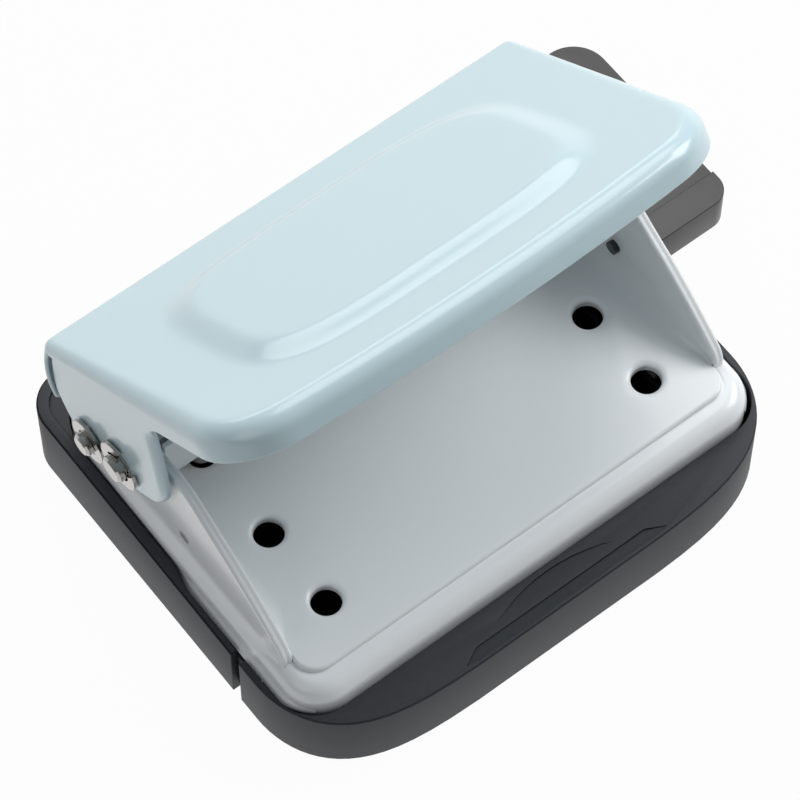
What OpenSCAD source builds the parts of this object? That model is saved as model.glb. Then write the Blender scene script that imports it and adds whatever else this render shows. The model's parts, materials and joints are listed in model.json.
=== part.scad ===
// Six-hole desk punch with a pressed lever, drawn with the lever raised.
// X runs along the lever, -Y is the front, where paper goes in, and +Z is up.
// The origin lies on the table, midway between the punches. Sizes are in millimetres.

/* [Bed] */
// Distance between the two columns of holes
hole_spacing = 80; // [76:0.5:88]
// From the front row of holes to the middle row
front_row_gap = 18.6; // [16:0.1:22]
// From the middle row of holes to the row of the punches
rear_row_gap = 22.1; // [19:0.1:26]
// Diameter of the six holes in the bed
hole_d = 6.3; // [6.3:0.1:7.5]
// Height of the bed above the table
bed_h = 24.5; // [24.5:0.5:30]
// From a column of holes to the body's side wall
side_margin = 16.8; // [16.4:0.1:20]
// From the front row of holes to the body's front wall
front_margin = 17.1; // [16:0.1:20]
// Width of the flat band in front of the raised bed
front_band = 1.4; // [0.8:0.1:3]
// How far the bed stands above the band around it
bed_step = 1; // [0.6:0.1:1.4]
// Thickness of the body's sheet
body_sheet = 1; // [0.8:0.1:1.2]

/* [Body] */
// Back wall of the body, behind the punches
body_back = 31.8; // [31:0.2:35]
// Radius of the body's rolled edge
body_fold = 4; // [3:0.5:4.5]
// From the body's side wall in to an ear's inner face
ear_inset = 4.2; // [4:0.1:4.4]
// Thickness of an ear
ear_t = 2.4; // [2:0.1:2.6]
// Height of the ears above the bed
ear_h = 25.6; // [23:0.2:27]
// From the body's front wall back to the front ends of the ears
ear_setback = 10.8; // [9.8:0.2:13]

/* [Lever] */
// How far a leg of the lever stands out from the body's side wall
leg_gap = 1.3; // [0.9:0.1:1.6]
// How far the pressed lever reaches past the front of the base
lever_over = 3.4; // [0:0.1:6]
// From the pivot up to the lever's top, with the lever pressed down
lever_h = 22.4; // [21.5:0.2:24]
// Depth of the lip around the lever
lip_depth = 7.1; // [6:0.1:9]
// Thickness of the lever's sheet
lever_sheet = 1; // [0.8:0.1:1.2]
// Angle that the lever turns from raised to pressed
lever_turn = 38.9; // [35:0.1:40]
// Radius of the lever's front corners
lever_corner = 14; // [10:0.5:16]
// How far the front lip bows forward
lever_bow = 1.8; // [1:0.1:3]
// Height of the raised pad on the lever
pad_rise = 1.8; // [0.8:0.1:2.4]

/* [Drive] */
// Pivot shaft's distance behind the punches
pivot_y = 10.9; // [10.7:0.1:12]
// Pivot shaft's height above the bed
pivot_h = 10; // [9.6:0.1:11]
// Diameter of the pivot shaft
pivot_d = 5; // [4:0.5:5]
// Distance from the pivot shaft to the drive shaft
drive_arm = 12.2; // [11.8:0.1:12.4]
// How far the drive shaft hangs below level when the lever is pressed, in degrees
drive_drop = 9.9; // [8:0.1:11]
// Diameter of the drive shaft
drive_d = 6; // [5:0.5:6]
// Diameter of a punch
punch_d = 6; // [5:0.5:6]
// Gap between a raised punch and the bed
throat = 1; // [0.6:0.1:1.6]

/* [Springs] */
// Wire of a return spring
spring_wire = 0.45; // [0.4:0.05:0.6]
// Mean radius of a return spring
spring_r = 2.15; // [2.1:0.05:2.2]
// Turns of a return spring
spring_turns = 9; // [6:1:10]

/* [Base] */
// How far the base stands out from the body at its sides and back
base_margin = 3.1; // [2.8:0.1:5]
// How far the bowed front lip reaches in front of the body
lip_reach = 9.6; // [9.4:0.1:16]
// Thickness of the base's walls
base_wall = 2.7; // [2.2:0.1:2.7]
// Thickness of the base's floor
base_floor = 1.6; // [1.4:0.1:1.6]
// Radius of the base's back corners
base_corner = 8.5; // [7:0.5:12]
// How far the rim lies below the bed at the front
rim_drop = 7; // [6:0.2:8]
// How much higher the rim is at the back
rim_rise = 2.4; // [0:0.2:4]
// From the body's front wall back to the front ends of the base's side walls
split_setback = 21.7; // [20.8:0.1:23]
// Width of the slit between the base and the chip drawer
split_gap = 2.6; // [1:0.1:3]
// Thickness of the rubber sole
sole_t = 1; // [0.8:0.1:1.4]

/* [Paper guide and drawer] */
// How far the drawn paper guide stands out from the base
guide_out = 27; // [18:0.1:30]
// How far the pushed-in paper guide stands out from the base
guide_tuck = 1.5; // [1.4:0.1:6]
// Height of the guide's front bar
guide_h = 9.4; // [8:0.2:9.6]
// Width of the guide's front bar
guide_bar = 6.5; // [5:0.1:8]
// How far the guide's plate lies below its bar
guide_step = 1.1; // [0.6:0.1:2]
// How far the guide's plate reaches behind the base
guide_tail = 3; // [1:0.5:6]
// From the hole centres to the paper stop
paper_margin = 12; // [10:0.2:12.2]

/* [Hidden] */
$fn = 64;

// Clearances
run_fit = 0.05;
slip = 0.3;
slide_gap = 0.4;
contact = 0.1;

// Bed and body
hole_x = hole_spacing / 2;
rows = [-front_row_gap - rear_row_gap, -rear_row_gap, 0];
rim_r = 1.1;
bed_corner = 5;
body_half = hole_x + side_margin;
body_w = 2 * body_half;
body_front = front_row_gap + rear_row_gap + front_margin;
base_front = body_front + lip_reach;
bed_front = body_front - body_fold - front_band;
body_corner_front = 9;
body_corner_back = 7;
body_wall_h = 10;
band_h = bed_h - bed_step;
ear_in = body_half - ear_inset;
ear_out = ear_in + ear_t;
ear_front = body_front - ear_setback;
ear_root = bed_step + body_sheet + 0.6;
ear_nose = 2.4;
ear_peak_y = 15;
ear_peak_r = 6;
ear_fillet = 5;
ear_sweep = 12.2;
pocket_wall = 0.8;
hole_cut = 4;
stud_d = 3;
stud_y = -15;
stud_z = bed_h + 4.6;
stud_proud = 1.2;
stop_half = hole_x - 10;
stop_t = 1;
stop_foot = 6;
stop_h = pivot_h - pivot_d / 2 - 0.8;

// Pivot, drive shaft and stroke
pivot_z = bed_h + pivot_h;
drive_rest = lever_turn - drive_drop;
drive_y = pivot_y - drive_arm * cos(drive_rest);
drive_z = pivot_z + drive_arm * sin(drive_rest);
slot_half = drive_d / 2 + slip;
leg_out = body_half + leg_gap;
lever_w = 2 * leg_out;
leg_in = leg_out - lever_sheet;
clip_t = 0.7;
clip_gap = 0.3;
clip_x = leg_out + clip_gap;
shaft_end = clip_x + clip_t + 1.7;
shaft_chamfer = 0.5;
washer_gap = 0.2;
washer_t = leg_in - ear_out - 2 * washer_gap;
washer_rim = 2;
clip_rim = 2.5;
groove = 0.5;

// Lever shell, in a frame whose origin is the pivot, with the lever pressed down
lever_reach = base_front + pivot_y + lever_over;
fold_r = 4;
lever_back = -3.4;
back_fold = [[-4.6, 19.4], [-13.6, 5.5]];
pad_side = 15.8;
pad_front = 9.9;
pad_back = 8;
pad_half = [leg_out - pad_side, (lever_reach - pad_front - pad_back) / 2];
pad_mid = (lever_reach - pad_front + pad_back) / 2;
pad_corner = 24;
pad_slope = 8;
drive_at = [-drive_arm * cos(drive_drop), -drive_arm * sin(drive_drop)];
toe_r = 7.4;
toe_mid = drive_at + [-9.2, 0.8];
belly_r = 9.2;
belly_mid = [0.3, -1.2];
heel_r = 6.8;
heel_mid = [4.4, 3.4];
notch_x = [toe_mid[0] - 27.8, toe_mid[0] - 24.8, toe_mid[0] - 19.8, toe_mid[0] - 16.7];
notch_low = 13.4;
corner_x = leg_out - lever_corner;
bow_r = round(5 * (corner_x ^ 2 + lever_bow ^ 2) / lever_bow) / 10;
corner_y = round(100 * (bow_r - lever_reach - sqrt((bow_r - lever_corner) ^ 2 - corner_x ^ 2))) / 100;
bow_half = asin(corner_x / (bow_r - lever_corner));
bow_facets = 720;
bow_skin = 0.04;
bow_lap = 0.07;
fold_lap = 0.5;
rim_tail = 3;

// Press bar
bar_t = 1.2;
bar_wall = 1;
bar_z = drive_z - drive_d / 2 - contact - bar_t;
bar_front = 5.6;
bar_back = 7.9;
bar_half = ear_in - 1;
bar_front_h = 12;
bar_back_h = 4;
rivet_d = 3.6;
post_x = ear_in - 4.4;
bar_back_half = post_x - 5.2;
post_y = 5.6;
post_d = 3;
post_top = drive_z - 1;
notch_w = 1.4;

// Die plate and spring cups
die_t = 2;
die_half = [ear_in - 1.1, 5.8];
die_back = 9.2;
cup_depth = 8.8;
cup_wall = 0.55;
cup_r = spring_r + spring_wire / 2 + slip + cup_wall;
cup_flange = 1;
cup_floor = 0.8;
die_low = bed_h - body_sheet - die_t;
cup_low = bed_h - body_sheet - cup_depth;
spring_low = cup_low + cup_floor;
tenon_d = 2;

// Base, screws and feet
base_low = sole_t;
base_half = body_half + base_margin;
base_w = 2 * base_half;
base_back = body_back + base_margin;
split_y = body_front - split_setback;
floor_top = base_low + base_floor;
rim_z = bed_h - rim_drop;
base_in = base_half - base_wall;
front_in = base_half - 1.5;
front_from = [20, 14];
lip_in = body_front + slide_gap;
drawer_y = split_y + split_gap;
screw_x = body_half - 8.2;
screw_ys = [6.1 - split_y, body_back - 7.8];
boss_r = 3.9;
stand_r = 2.8;
boss_top = guide_top() + 0.6;
screw_d = 3;
head_r = 2.7;
head_t = 1.8;
head_inset = 0.4;
screw_grip = 6;
cross_l = 3.2;
cross_w = 0.7;
sole_half = screw_x - head_r - 2.3;
sole_front = split_y - 4;
sole_back = base_back - 5;
sole_corner = 5;

// Chip drawer
tray_half = screw_x - boss_r - slip;
tray_t = 1;
tray_low = floor_top + slip;
tray_top = rim_z - 1.4;
shelf_low = guide_top() + slide_gap;
tray_back = 4.4;
tray_ramp = 1.4;
lip_wall = 2;
lip_power = 5.2;
lip_bow = 23.4;
lip_start = base_front - lip_bow;
thumb_half = hole_x - 25;
thumb_y = 5 - base_front;
thumb_depth = 6.2;
lens_half = hole_x - 15;
lens_back = 3.5 - base_front;
lens_tip = 1.4 - base_front;
lens_front = 0.9 - base_front;
lens_run = 4;
grip_depth = 0.5;

// Paper guide
guide_low = floor_top + slip;
guide_front = 12.7;
guide_wall = 1.8;
guide_corner = 8;
guide_tip = 4.5;
guide_inner = base_in - 1.4;
guide_reach = base_half + guide_out;
guide_travel = guide_out - guide_tuck;
guide_back = base_back + guide_tail;
tongue_t = 2;
tongue_in = guide_travel + boss_r + 1.1 - screw_x;
tongue_y = [9, 30];
strap_x = [4, 12];
strap_t = 1.2;
strap_gap = 0.4;

// Wire of a spring
lead = spring_wire;
knee = 0.7;
ring_steps = 8;
spring_sides = 6;
knee_angles = [0, 30, 60];
coil_low = spring_low + lead + knee;
coil_high = bar_z - lead - knee;

function guide_top() = sole_t + base_floor + slip + guide_h;

// Points of an arc, from angle a to angle b
function arc(mid, r, a, b, n = 12) =
    [for (i = [0:n]) mid + r * [cos(a + (b - a) * i / n), sin(a + (b - a) * i / n)]];

// Points of a curve with one control point
function bend(p, q, r, n = 10) =
    [for (i = [0:n]) let (t = i / n) (1 - t) * (1 - t) * p + 2 * t * (1 - t) * q + t * t * r];

// Draws a Y-Z outline as a plate that runs along X
module along_x(x, length) {
    translate([x, 0, 0]) rotate([90, 0, 90]) linear_extrude(length) children();
}

// Copies a piece at both ends of the machine
module both_ends() {
    children();
    mirror([1, 0, 0]) children();
}

module rod_x(d, x, length, y, z) {
    translate([x, y, z]) rotate([0, 90, 0]) cylinder(d = d, h = length);
}

// Rectangle with its own radius on the front and on the back corners
module rounded(half, front, back, front_r, back_r) {
    translate([-half, -front + front_r]) square([2 * half, front + back - front_r - back_r]);
    translate([-half + front_r, -front]) square([2 * (half - front_r), front_r + 1]);
    translate([-half + back_r, back - back_r - 1]) square([2 * (half - back_r), back_r + 1]);
    for (side = [-1, 1]) {
        translate([side * (half - front_r), -front + front_r]) circle(front_r);
        translate([side * (half - back_r), back - back_r]) circle(back_r);
    }
}

// Section of a sheet that folds down over a rounded edge: outer face at 0, top at 0
module fold_section(r, sheet, depth) {
    translate([-r, -r]) intersection() {
        difference() {
            circle(r);
            circle(r - sheet);
        }
        square(r);
    }
    translate([-sheet, -depth]) square([sheet, depth - r]);
}

// Body: raised bed with six holes, rolled band and walls, and two ears

module body_wall_run(length) {
    rotate([90, 0, 0]) linear_extrude(length) fold_section(body_fold, body_sheet, body_wall_h);
}

module body_corner(r, turn) {
    rotate([0, 0, turn]) rotate_extrude(angle = 90)
        translate([r, 0]) fold_section(body_fold, body_sheet, body_wall_h);
}

module body_skin() {
    f = body_corner_front;
    b = body_corner_back;
    translate([0, 0, band_h]) {
        both_ends() {
            translate([body_half, body_back - b, 0]) body_wall_run(body_front + body_back - f - b);
            translate([body_half - f, -body_front + f, 0]) body_corner(f, -90);
            translate([body_half - b, body_back - b, 0]) body_corner(b, 0);
        }
        translate([body_half - f, -body_front, 0]) rotate([0, 0, -90])
            body_wall_run(body_w - 2 * f);
        translate([-body_half + b, body_back, 0]) rotate([0, 0, 90])
            body_wall_run(body_w - 2 * b);
    }
    translate([0, 0, band_h - body_sheet]) linear_extrude(body_sheet)
        rounded(body_half - body_fold, body_front - body_fold, body_back - body_fold,
            body_corner_front - body_fold, body_corner_back - body_fold);
    translate([0, 0, band_h - body_sheet]) linear_extrude(bed_step + body_sheet)
        rounded(body_half - body_fold, bed_front, body_back - body_fold, bed_corner, 2);
}

module ear_outline() {
    reach = pivot_y + ear_sweep;
    crest = bed_h + ear_h;
    polygon(concat(
        [[reach, bed_h - ear_root], [-ear_front, bed_h - ear_root]],
        bend([-ear_front, bed_h + ear_nose], [-ear_front + 6.6, bed_h + ear_h * 0.46],
            [-ear_peak_y - ear_peak_r * 0.55, crest - ear_peak_r * 0.2]),
        arc([-ear_peak_y, crest - ear_peak_r], ear_peak_r, 112, 86),
        arc([pivot_y, pivot_z], ear_sweep, 84, 0)));
}

// Slot along the path that the drive shaft takes through an ear
module drive_slot() {
    mid = [pivot_y, pivot_z];
    low = 180 + drive_drop;
    high = 180 - drive_rest;
    low_end = mid + drive_arm * [cos(low), sin(low)];
    polygon(concat(
        arc(mid, drive_arm + slot_half, high, low, 24),
        arc(low_end, slot_half, low + 12, low + 168),
        arc(mid, drive_arm - slot_half, low, high, 24),
        arc([drive_y, drive_z], slot_half, high + 192, high + 348)));
}

module ear() {
    difference() {
        union() {
            difference() {
                along_x(ear_in, ear_t) ear_outline();
                along_x(ear_in - 1, ear_t + 2) drive_slot();
                rod_x(pivot_d + 2 * run_fit, ear_in - 1, ear_t + 2, pivot_y, pivot_z);
            }
            ear_root_fillet();
        }
        rod_x(stud_d, ear_in - ear_fillet, ear_fillet + ear_t + 1, stud_y, stud_z);
    }
}

// Hollow fillet where the bed turns up into the ear
module ear_root_fillet() {
    intersection() {
        translate([ear_in, pivot_y + ear_sweep, bed_h]) rotate([90, 0, 0])
            linear_extrude(ear_front + pivot_y + ear_sweep) difference() {
                translate([-ear_fillet, 0]) square(ear_fillet);
                translate([-ear_fillet, ear_fillet]) circle(ear_fillet);
            }
        along_x(ear_in - ear_fillet, ear_fillet) ear_outline();
    }
}

module bed_hole(x, y) {
    translate([x, y, bed_h - hole_cut + 1]) cylinder(d = hole_d, h = hole_cut);
    translate([x, y, bed_h - rim_r * 0.45]) cylinder(r1 = hole_d / 2, r2 = hole_d / 2 + rim_r, h = 0.51);
}

module body() {
    color("#dfe4e6") difference() {
        union() {
            body_skin();
            both_ends() ear();
        }
        for (y = rows, side = [-1, 1]) bed_hole(side * hole_x, y);
        for (side = [-1, 1]) translate([side * post_x, post_y, bed_h - hole_cut])
            cylinder(r = cup_r - cup_wall, h = hole_cut + ear_fillet);
        translate([0, 0, band_h - 2 * body_sheet]) linear_extrude(bed_step + body_sheet)
            rounded(body_half - body_fold - pocket_wall, bed_front - pocket_wall,
                body_back - body_fold - pocket_wall, 3, 1);
        translate([-tray_half - 1, -body_front - 1, band_h - body_wall_h - 1])
            cube([2 * tray_half + 2, 3, tray_top + slide_gap - band_h + body_wall_h + 1]);
    }
}

// Studs through the feet of the ears

module ear_studs() {
    color("#6d6a66") both_ends()
        rod_x(stud_d, ear_in - stud_proud, ear_t + stud_proud, stud_y, stud_z);
}

// Die plate under the bed, with the two cutting holes

module die_plate() {
    color("#8d9296") translate([0, 0, die_low]) difference() {
        linear_extrude(die_t) rounded(die_half[0], die_half[1], die_back, 2, 2);
        for (side = [-1, 1]) {
            translate([side * hole_x, 0, -1]) cylinder(d = punch_d + 2 * run_fit, h = die_t + 2);
            translate([side * post_x, post_y, -1]) cylinder(r = cup_r + contact, h = die_t + 2);
        }
    }
}

// Stop that the paper's edge meets behind the punches

module paper_stop() {
    color("#b9bdc0") along_x(-stop_half, 2 * stop_half) polygon([
        [paper_margin, bed_h], [paper_margin + stop_foot, bed_h],
        [paper_margin + stop_foot, bed_h + stop_t],
        [paper_margin + stop_t, bed_h + stop_t], [paper_margin + stop_t, bed_h + stop_h],
        [paper_margin, bed_h + stop_h]]);
}

// Posts, cups and springs that carry the press bar

module guide_posts() {
    color("#a9a8a4") both_ends() translate([post_x, post_y, 0]) {
        translate([0, 0, spring_low]) cylinder(d = post_d, h = post_top - spring_low);
        translate([0, 0, cup_low]) cylinder(d = tenon_d, h = cup_floor + 1);
    }
}

module spring_cups() {
    color("#9a9c9d") both_ends() translate([post_x, post_y, cup_low]) difference() {
        union() {
            cylinder(r = cup_r, h = cup_depth);
            translate([0, 0, die_low - cup_low - cup_floor])
                cylinder(r = cup_r + cup_flange, h = cup_floor);
        }
        translate([0, 0, cup_floor]) cylinder(r = cup_r - cup_wall, h = cup_depth);
        translate([0, 0, -1]) cylinder(d = tenon_d + 2 * run_fit, h = cup_floor + 2);
    }
}

// Wire of a spring: straight ends, a bend at each end, and a helix between them
spring_path = concat(
    [[[spring_r, -knee, spring_low], 0, [0, 0, 1]]],
    [for (a = knee_angles)
        [[spring_r, -knee * cos(a), coil_low - knee + knee * sin(a)], 0, [0, sin(a), cos(a)]]],
    [for (i = [0:spring_turns * ring_steps]) let (a = 360 * i / ring_steps,
            z = coil_low + (coil_high - coil_low) * i / (spring_turns * ring_steps))
        [[spring_r * cos(a), spring_r * sin(a), z], a, [-sin(a), cos(a), 0]]],
    [for (a = [60, 30, 0])
        [[spring_r, knee * cos(a), coil_high + knee - knee * sin(a)], 0, [0, sin(a), cos(a)]]],
    [[[spring_r, knee, bar_z], 0, [0, 0, 1]]]);

function ring(step) = let (out = [cos(step[1]), sin(step[1]), 0], up = cross(out, step[2]))
    [for (k = [0:spring_sides - 1])
        step[0] + spring_wire / 2 * (out * cos(360 * k / spring_sides) + up * sin(360 * k / spring_sides))];

module spring_wire_form() {
    n = len(spring_path);
    s = spring_sides;
    points = [for (step = spring_path) each ring(step)];
    sides = [for (i = [0:n - 2], k = [0:s - 1]) let (a = i * s + k, b = i * s + (k + 1) % s)
        each [[a, a + s, b + s], [a, b + s, b]]];
    low_cap = [for (k = [1:s - 2]) [0, k, k + 1]];
    high_cap = [for (k = [1:s - 2]) [(n - 1) * s, (n - 1) * s + k + 1, (n - 1) * s + k]];
    polyhedron(points, concat(sides, low_cap, high_cap));
}

module spring_left() {
    color("#c9c9c6") translate([-post_x, post_y, 0]) spring_wire_form();
}

module spring_right() {
    color("#c9c9c6") translate([post_x, post_y, 0]) spring_wire_form();
}

spring_centres = [for (step = spring_path) step[0]];
spring_gap = min([for (i = [0:len(spring_centres) - 1])
    for (j = [i + 5:1:len(spring_centres) - 1]) norm(spring_centres[i] - spring_centres[j])]) - spring_wire;
echo(spring_least_gap = spring_gap);

// Press bar that the drive shaft pushes down, and its two punches

module press_bar() {
    color("#d5dadd") difference() {
        union() {
            translate([-bar_half, -bar_front, bar_z])
                cube([2 * bar_half, bar_front + bar_back, bar_t]);
            translate([-bar_half, -bar_front, bar_z])
                cube([2 * bar_half, bar_wall, bar_front_h]);
            translate([-bar_back_half, bar_back - bar_wall, bar_z])
                cube([2 * bar_back_half, bar_wall, bar_back_h]);
        }
        for (side = [-1, 1]) {
            translate([side * hole_x, 0, bar_z - 1]) cylinder(d = rivet_d + 2 * run_fit, h = bar_t + 2);
            translate([side * post_x, post_y, bar_z - 1]) cylinder(d = post_d + 2 * run_fit, h = bar_t + 2);
        }
    }
}

module punches() {
    tip = bed_h + throat;
    color("#8f8d88") both_ends() translate([hole_x, 0, 0]) difference() {
        union() {
            translate([0, 0, tip]) cylinder(d = punch_d, h = bar_z - tip);
            translate([0, 0, bar_z - 1]) cylinder(d = rivet_d, h = bar_t + 1);
        }
        translate([0, 0, tip]) rotate([45, 0, 0]) cube([punch_d + 2, notch_w, notch_w], center = true);
    }
}

// Lever shell, drawn pressed down about the pivot and then raised

module raised() {
    translate([0, pivot_y, pivot_z]) rotate([-lever_turn, 0, 0]) children();
}

// Section of the lever's edge: a flat tail, the fold and the lip, each face drawn in by skin
module lever_section(skin) {
    translate([-skin, -skin]) fold_section(fold_r - skin, lever_sheet - 2 * skin,
        lip_depth - 2 * skin, $fn = 64);
    translate([-fold_r - rim_tail, skin - lever_sheet]) square([rim_tail, lever_sheet - 2 * skin]);
}

// Front edge between the corners, a hair inside them so that its ends run into them
module lever_front_rim() {
    sweep = bow_half + bow_lap;
    translate([0, bow_r - lever_reach, lever_h]) rotate([0, 0, -90 - sweep])
        rotate_extrude(angle = 2 * sweep, $fn = bow_facets) translate([bow_r, 0])
            lever_section(bow_skin);
}

module lever_side_rim() {
    translate([corner_x, corner_y, lever_h])
        rotate_extrude(angle = bow_half - 90) translate([lever_corner, 0]) lever_section(0);
    translate([leg_out, -lever_back - fold_r, lever_h]) rotate([90, 0, 0])
        linear_extrude(-lever_back - fold_r - corner_y) lever_section(0);
}

// Flat top, whose edge runs under the tails of the folded edge
module lever_plan() {
    inset = fold_r + rim_tail / 2;
    half = concat(arc([corner_x, corner_y], lever_corner - inset, bow_half - 84, -4),
        [[leg_out - inset, -lever_back - fold_r]]);
    polygon(concat(
        arc([0, bow_r - lever_reach], bow_r - inset, -89.4 - bow_half, -90.6 + bow_half, 24), half,
        [for (i = [len(half) - 1:-1:0]) [-half[i][0], half[i][1]]]));
}

// Raised pad with sloping sides
module lever_pad(grow) {
    hull() {
        for (side = [-1, 1], end = [-1, 1]) translate([
                side * (pad_half[0] - pad_corner),
                -pad_mid + end * (pad_half[1] - pad_corner), lever_h - lever_sheet])
            cylinder(r1 = pad_corner + grow, r2 = pad_corner - pad_slope + grow,
                h = pad_rise + lever_sheet, $fn = 32);
    }
}

// Wall at the back: the top folds over, with ball-shaped corners, and slopes down
module lever_back_wall() {
    slope = atan2(back_fold[0][0] - back_fold[1][0], back_fold[0][1] - back_fold[1][1]);
    mid = [-lever_back - fold_r, lever_h - fold_r];
    out = [cos(slope), sin(slope)];
    down = [sin(slope), -cos(slope)];
    half = leg_out - fold_r;
    intersection() {
        union() {
            difference() {
                rod_x(2 * fold_r, -half, 2 * half, mid[0], mid[1]);
                rod_x(2 * (fold_r - lever_sheet), -half, 2 * half, mid[0], mid[1]);
            }
            both_ends() translate([half, mid[0], mid[1]]) difference() {
                intersection() {
                    rotate([90, 0, 180]) sphere(fold_r);
                    translate([0, -fold_r, -fold_r]) cube(2 * fold_r);
                }
                rotate([90, 0, 180]) sphere(fold_r - lever_sheet);
            }
        }
        along_x(-leg_out, lever_w) polygon([mid, mid + [0, fold_r + 1], mid + [fold_r + 1, fold_r + 1],
            mid + (fold_r + 2) * out]);
    }
    top = mid + (fold_r - bow_skin) * out - fold_lap * down;
    foot = [-back_fold[1][0], back_fold[1][1]];
    skin = (lever_sheet - 2 * bow_skin) * out;
    along_x(-leg_out, lever_w) polygon([top, foot, foot - skin, top - skin]);
}

module leg_outline() {
    edge = lever_h - fold_r;
    lip = lever_h - lip_depth;
    polygon(concat(
        [[-lever_back - 0.3, edge], [corner_y, edge], [corner_y, lip], [notch_x[0], lip]],
        bend([notch_x[1], lip], [notch_x[2], lip - 0.4], [notch_x[3], lever_h - notch_low]),
        arc(toe_mid, toe_r, 206, 262, 6),
        arc(belly_mid, belly_r, 250, 330, 6),
        arc(heel_mid, heel_r, -30, 30, 6)));
}

module lever() {
    color("#cfe3e9") raised() difference() {
        union() {
            translate([0, 0, lever_h - lever_sheet]) linear_extrude(lever_sheet) lever_plan();
            lever_front_rim();
            both_ends() lever_side_rim();
            lever_back_wall();
            lever_pad(0);
            both_ends() along_x(leg_in, lever_sheet) leg_outline();
        }
        translate([0, 0, -lever_sheet - 0.02]) lever_pad(0);
        rod_x(pivot_d + 2 * run_fit, -leg_out - 1, lever_w + 2, 0, 0);
        rod_x(drive_d + 2 * run_fit, -leg_out - 1, lever_w + 2, drive_at[0], drive_at[1]);
    }
}

// Cross shafts with their clips and washers

module cross_shaft(d, y, z) {
    neck = d - 2 * groove;
    translate([0, y, z]) rotate([0, 90, 0]) {
        cylinder(d = d, h = 2 * clip_x, center = true);
        cylinder(d = neck, h = 2 * (clip_x + clip_t) + 1, center = true);
        for (side = [0, 180]) rotate([side, 0, 0]) translate([0, 0, clip_x + clip_t]) {
            cylinder(d = d, h = shaft_end - clip_x - clip_t - shaft_chamfer);
            translate([0, 0, shaft_end - clip_x - clip_t - shaft_chamfer])
                cylinder(d1 = d, d2 = d - 2 * shaft_chamfer, h = shaft_chamfer);
        }
    }
}

// E-shaped clip in a shaft's groove, with its mouth turned to an angle
module clip(d, y, z, mouth) {
    neck_r = d / 2 - groove + run_fit;
    rim = d / 2 + clip_rim;
    translate([clip_x, y, z]) rotate([0, 90, 0]) rotate([0, 0, mouth]) linear_extrude(clip_t) {
        difference() {
            circle(rim);
            circle(d / 2 + 0.4);
            translate([0, -neck_r]) square([rim + 1, 2 * neck_r]);
        }
        for (turn = [120, 240]) rotate(turn) difference() {
            translate([neck_r - 0.3, -0.7]) square([d / 2 + 0.9 - neck_r, 1.4]);
            circle(neck_r);
        }
    }
}

module washer(d, y, z) {
    translate([ear_out + washer_gap, y, z]) rotate([0, 90, 0]) difference() {
        cylinder(r = d / 2 + washer_rim, h = washer_t);
        translate([0, 0, -1]) cylinder(d = d + 2 * run_fit, h = washer_t + 2);
    }
}

module pivot_shaft() {
    color("#bdb9b1") cross_shaft(pivot_d, pivot_y, pivot_z);
}

module drive_shaft() {
    color("#bdb9b1") cross_shaft(drive_d, drive_y, drive_z);
}

module pivot_clips() {
    color("#8b8a86") both_ends() clip(pivot_d, pivot_y, pivot_z, 40);
}

module drive_clips() {
    color("#8b8a86") both_ends() clip(drive_d, drive_y, drive_z, 215);
}

module pivot_washers() {
    color("#e4e2da") both_ends() washer(pivot_d, pivot_y, pivot_z);
}

module drive_washers() {
    color("#e4e2da") both_ends() washer(drive_d, drive_y, drive_z);
}

// Base shell with its walls, screw bosses and the opening for the paper guide

module base_plan(inset) {
    intersection() {
        rounded(base_half - inset, base_front, base_back - inset, 2, base_corner - inset);
        translate([-base_w, -split_y]) square([2 * base_w, split_y + base_back + 1]);
    }
}

module above_rim() {
    back = base_back + 1;
    along_x(-base_w, 2 * base_w) polygon([[-base_front - 5, rim_z], [-drawer_y, rim_z],
        [back, rim_z + rim_rise], [back, rim_z + 20], [-base_front - 5, rim_z + 20]]);
}

module base_shell() {
    color("#4b4d52") difference() {
        union() {
            difference() {
                translate([0, 0, base_low]) linear_extrude(rim_z + rim_rise + 1 - base_low) base_plan(0);
                translate([0, 0, floor_top]) linear_extrude(40) union() {
                    base_plan(base_wall);
                    polygon([[-front_in, -split_y - 1], [front_in, -split_y - 1],
                        [front_in, -front_from[0]], [base_in, -front_from[1]],
                        [-base_in, -front_from[1]], [-front_in, -front_from[0]]]);
                }
                translate([guide_inner - guide_travel - slide_gap, -guide_front - slide_gap, floor_top])
                    cube([base_w, guide_front + base_back + 1, guide_top() + slide_gap - floor_top]);
                above_rim();
            }
            for (y = screw_ys, side = [-1, 1]) translate([side * screw_x, y, base_low])
                cylinder(r = boss_r, h = boss_top - base_low);
        }
        for (y = screw_ys, side = [-1, 1]) translate([side * screw_x, y, base_low]) {
            translate([0, 0, -1]) cylinder(d = screw_d + 2 * slip, h = boss_top);
            translate([0, 0, -1]) cylinder(r = head_r + slip, h = 1 + head_t + head_inset);
        }
    }
}

module stand_offs() {
    color("#a3a5a6") for (y = screw_ys) both_ends() translate([screw_x, y, boss_top]) difference() {
        cylinder(r = stand_r, h = bed_h - body_sheet - boss_top);
        translate([0, 0, -1]) cylinder(d = screw_d + 2 * run_fit, h = screw_grip + 2);
    }
}

module base_screws() {
    low = base_low + head_inset;
    color("#5b5c5e") for (y = screw_ys) both_ends() translate([screw_x, y, low]) difference() {
        union() {
            cylinder(r = head_r, h = head_t);
            cylinder(d = screw_d, h = boss_top + screw_grip - low);
        }
        for (turn = [0, 90]) rotate(turn) cube([cross_l, cross_w, 2], center = true);
    }
}

module rubber_sole() {
    color("#26272a") linear_extrude(sole_t)
        rounded(sole_half, sole_front, sole_back, sole_corner, sole_corner);
}

// Chip drawer: the bowed front lip with its grip marks, and the tray behind it

// Outline of the lip, a full curve that is flatter in front
function lip_outline(inset, n = 40) = [for (i = [0:n]) let (a = 180 * i / n, c = cos(a), s = sin(a))
    [(base_half - inset) * sign(c) * abs(c) ^ (2 / lip_power),
        -lip_start - (lip_bow - inset) * s]];

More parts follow.
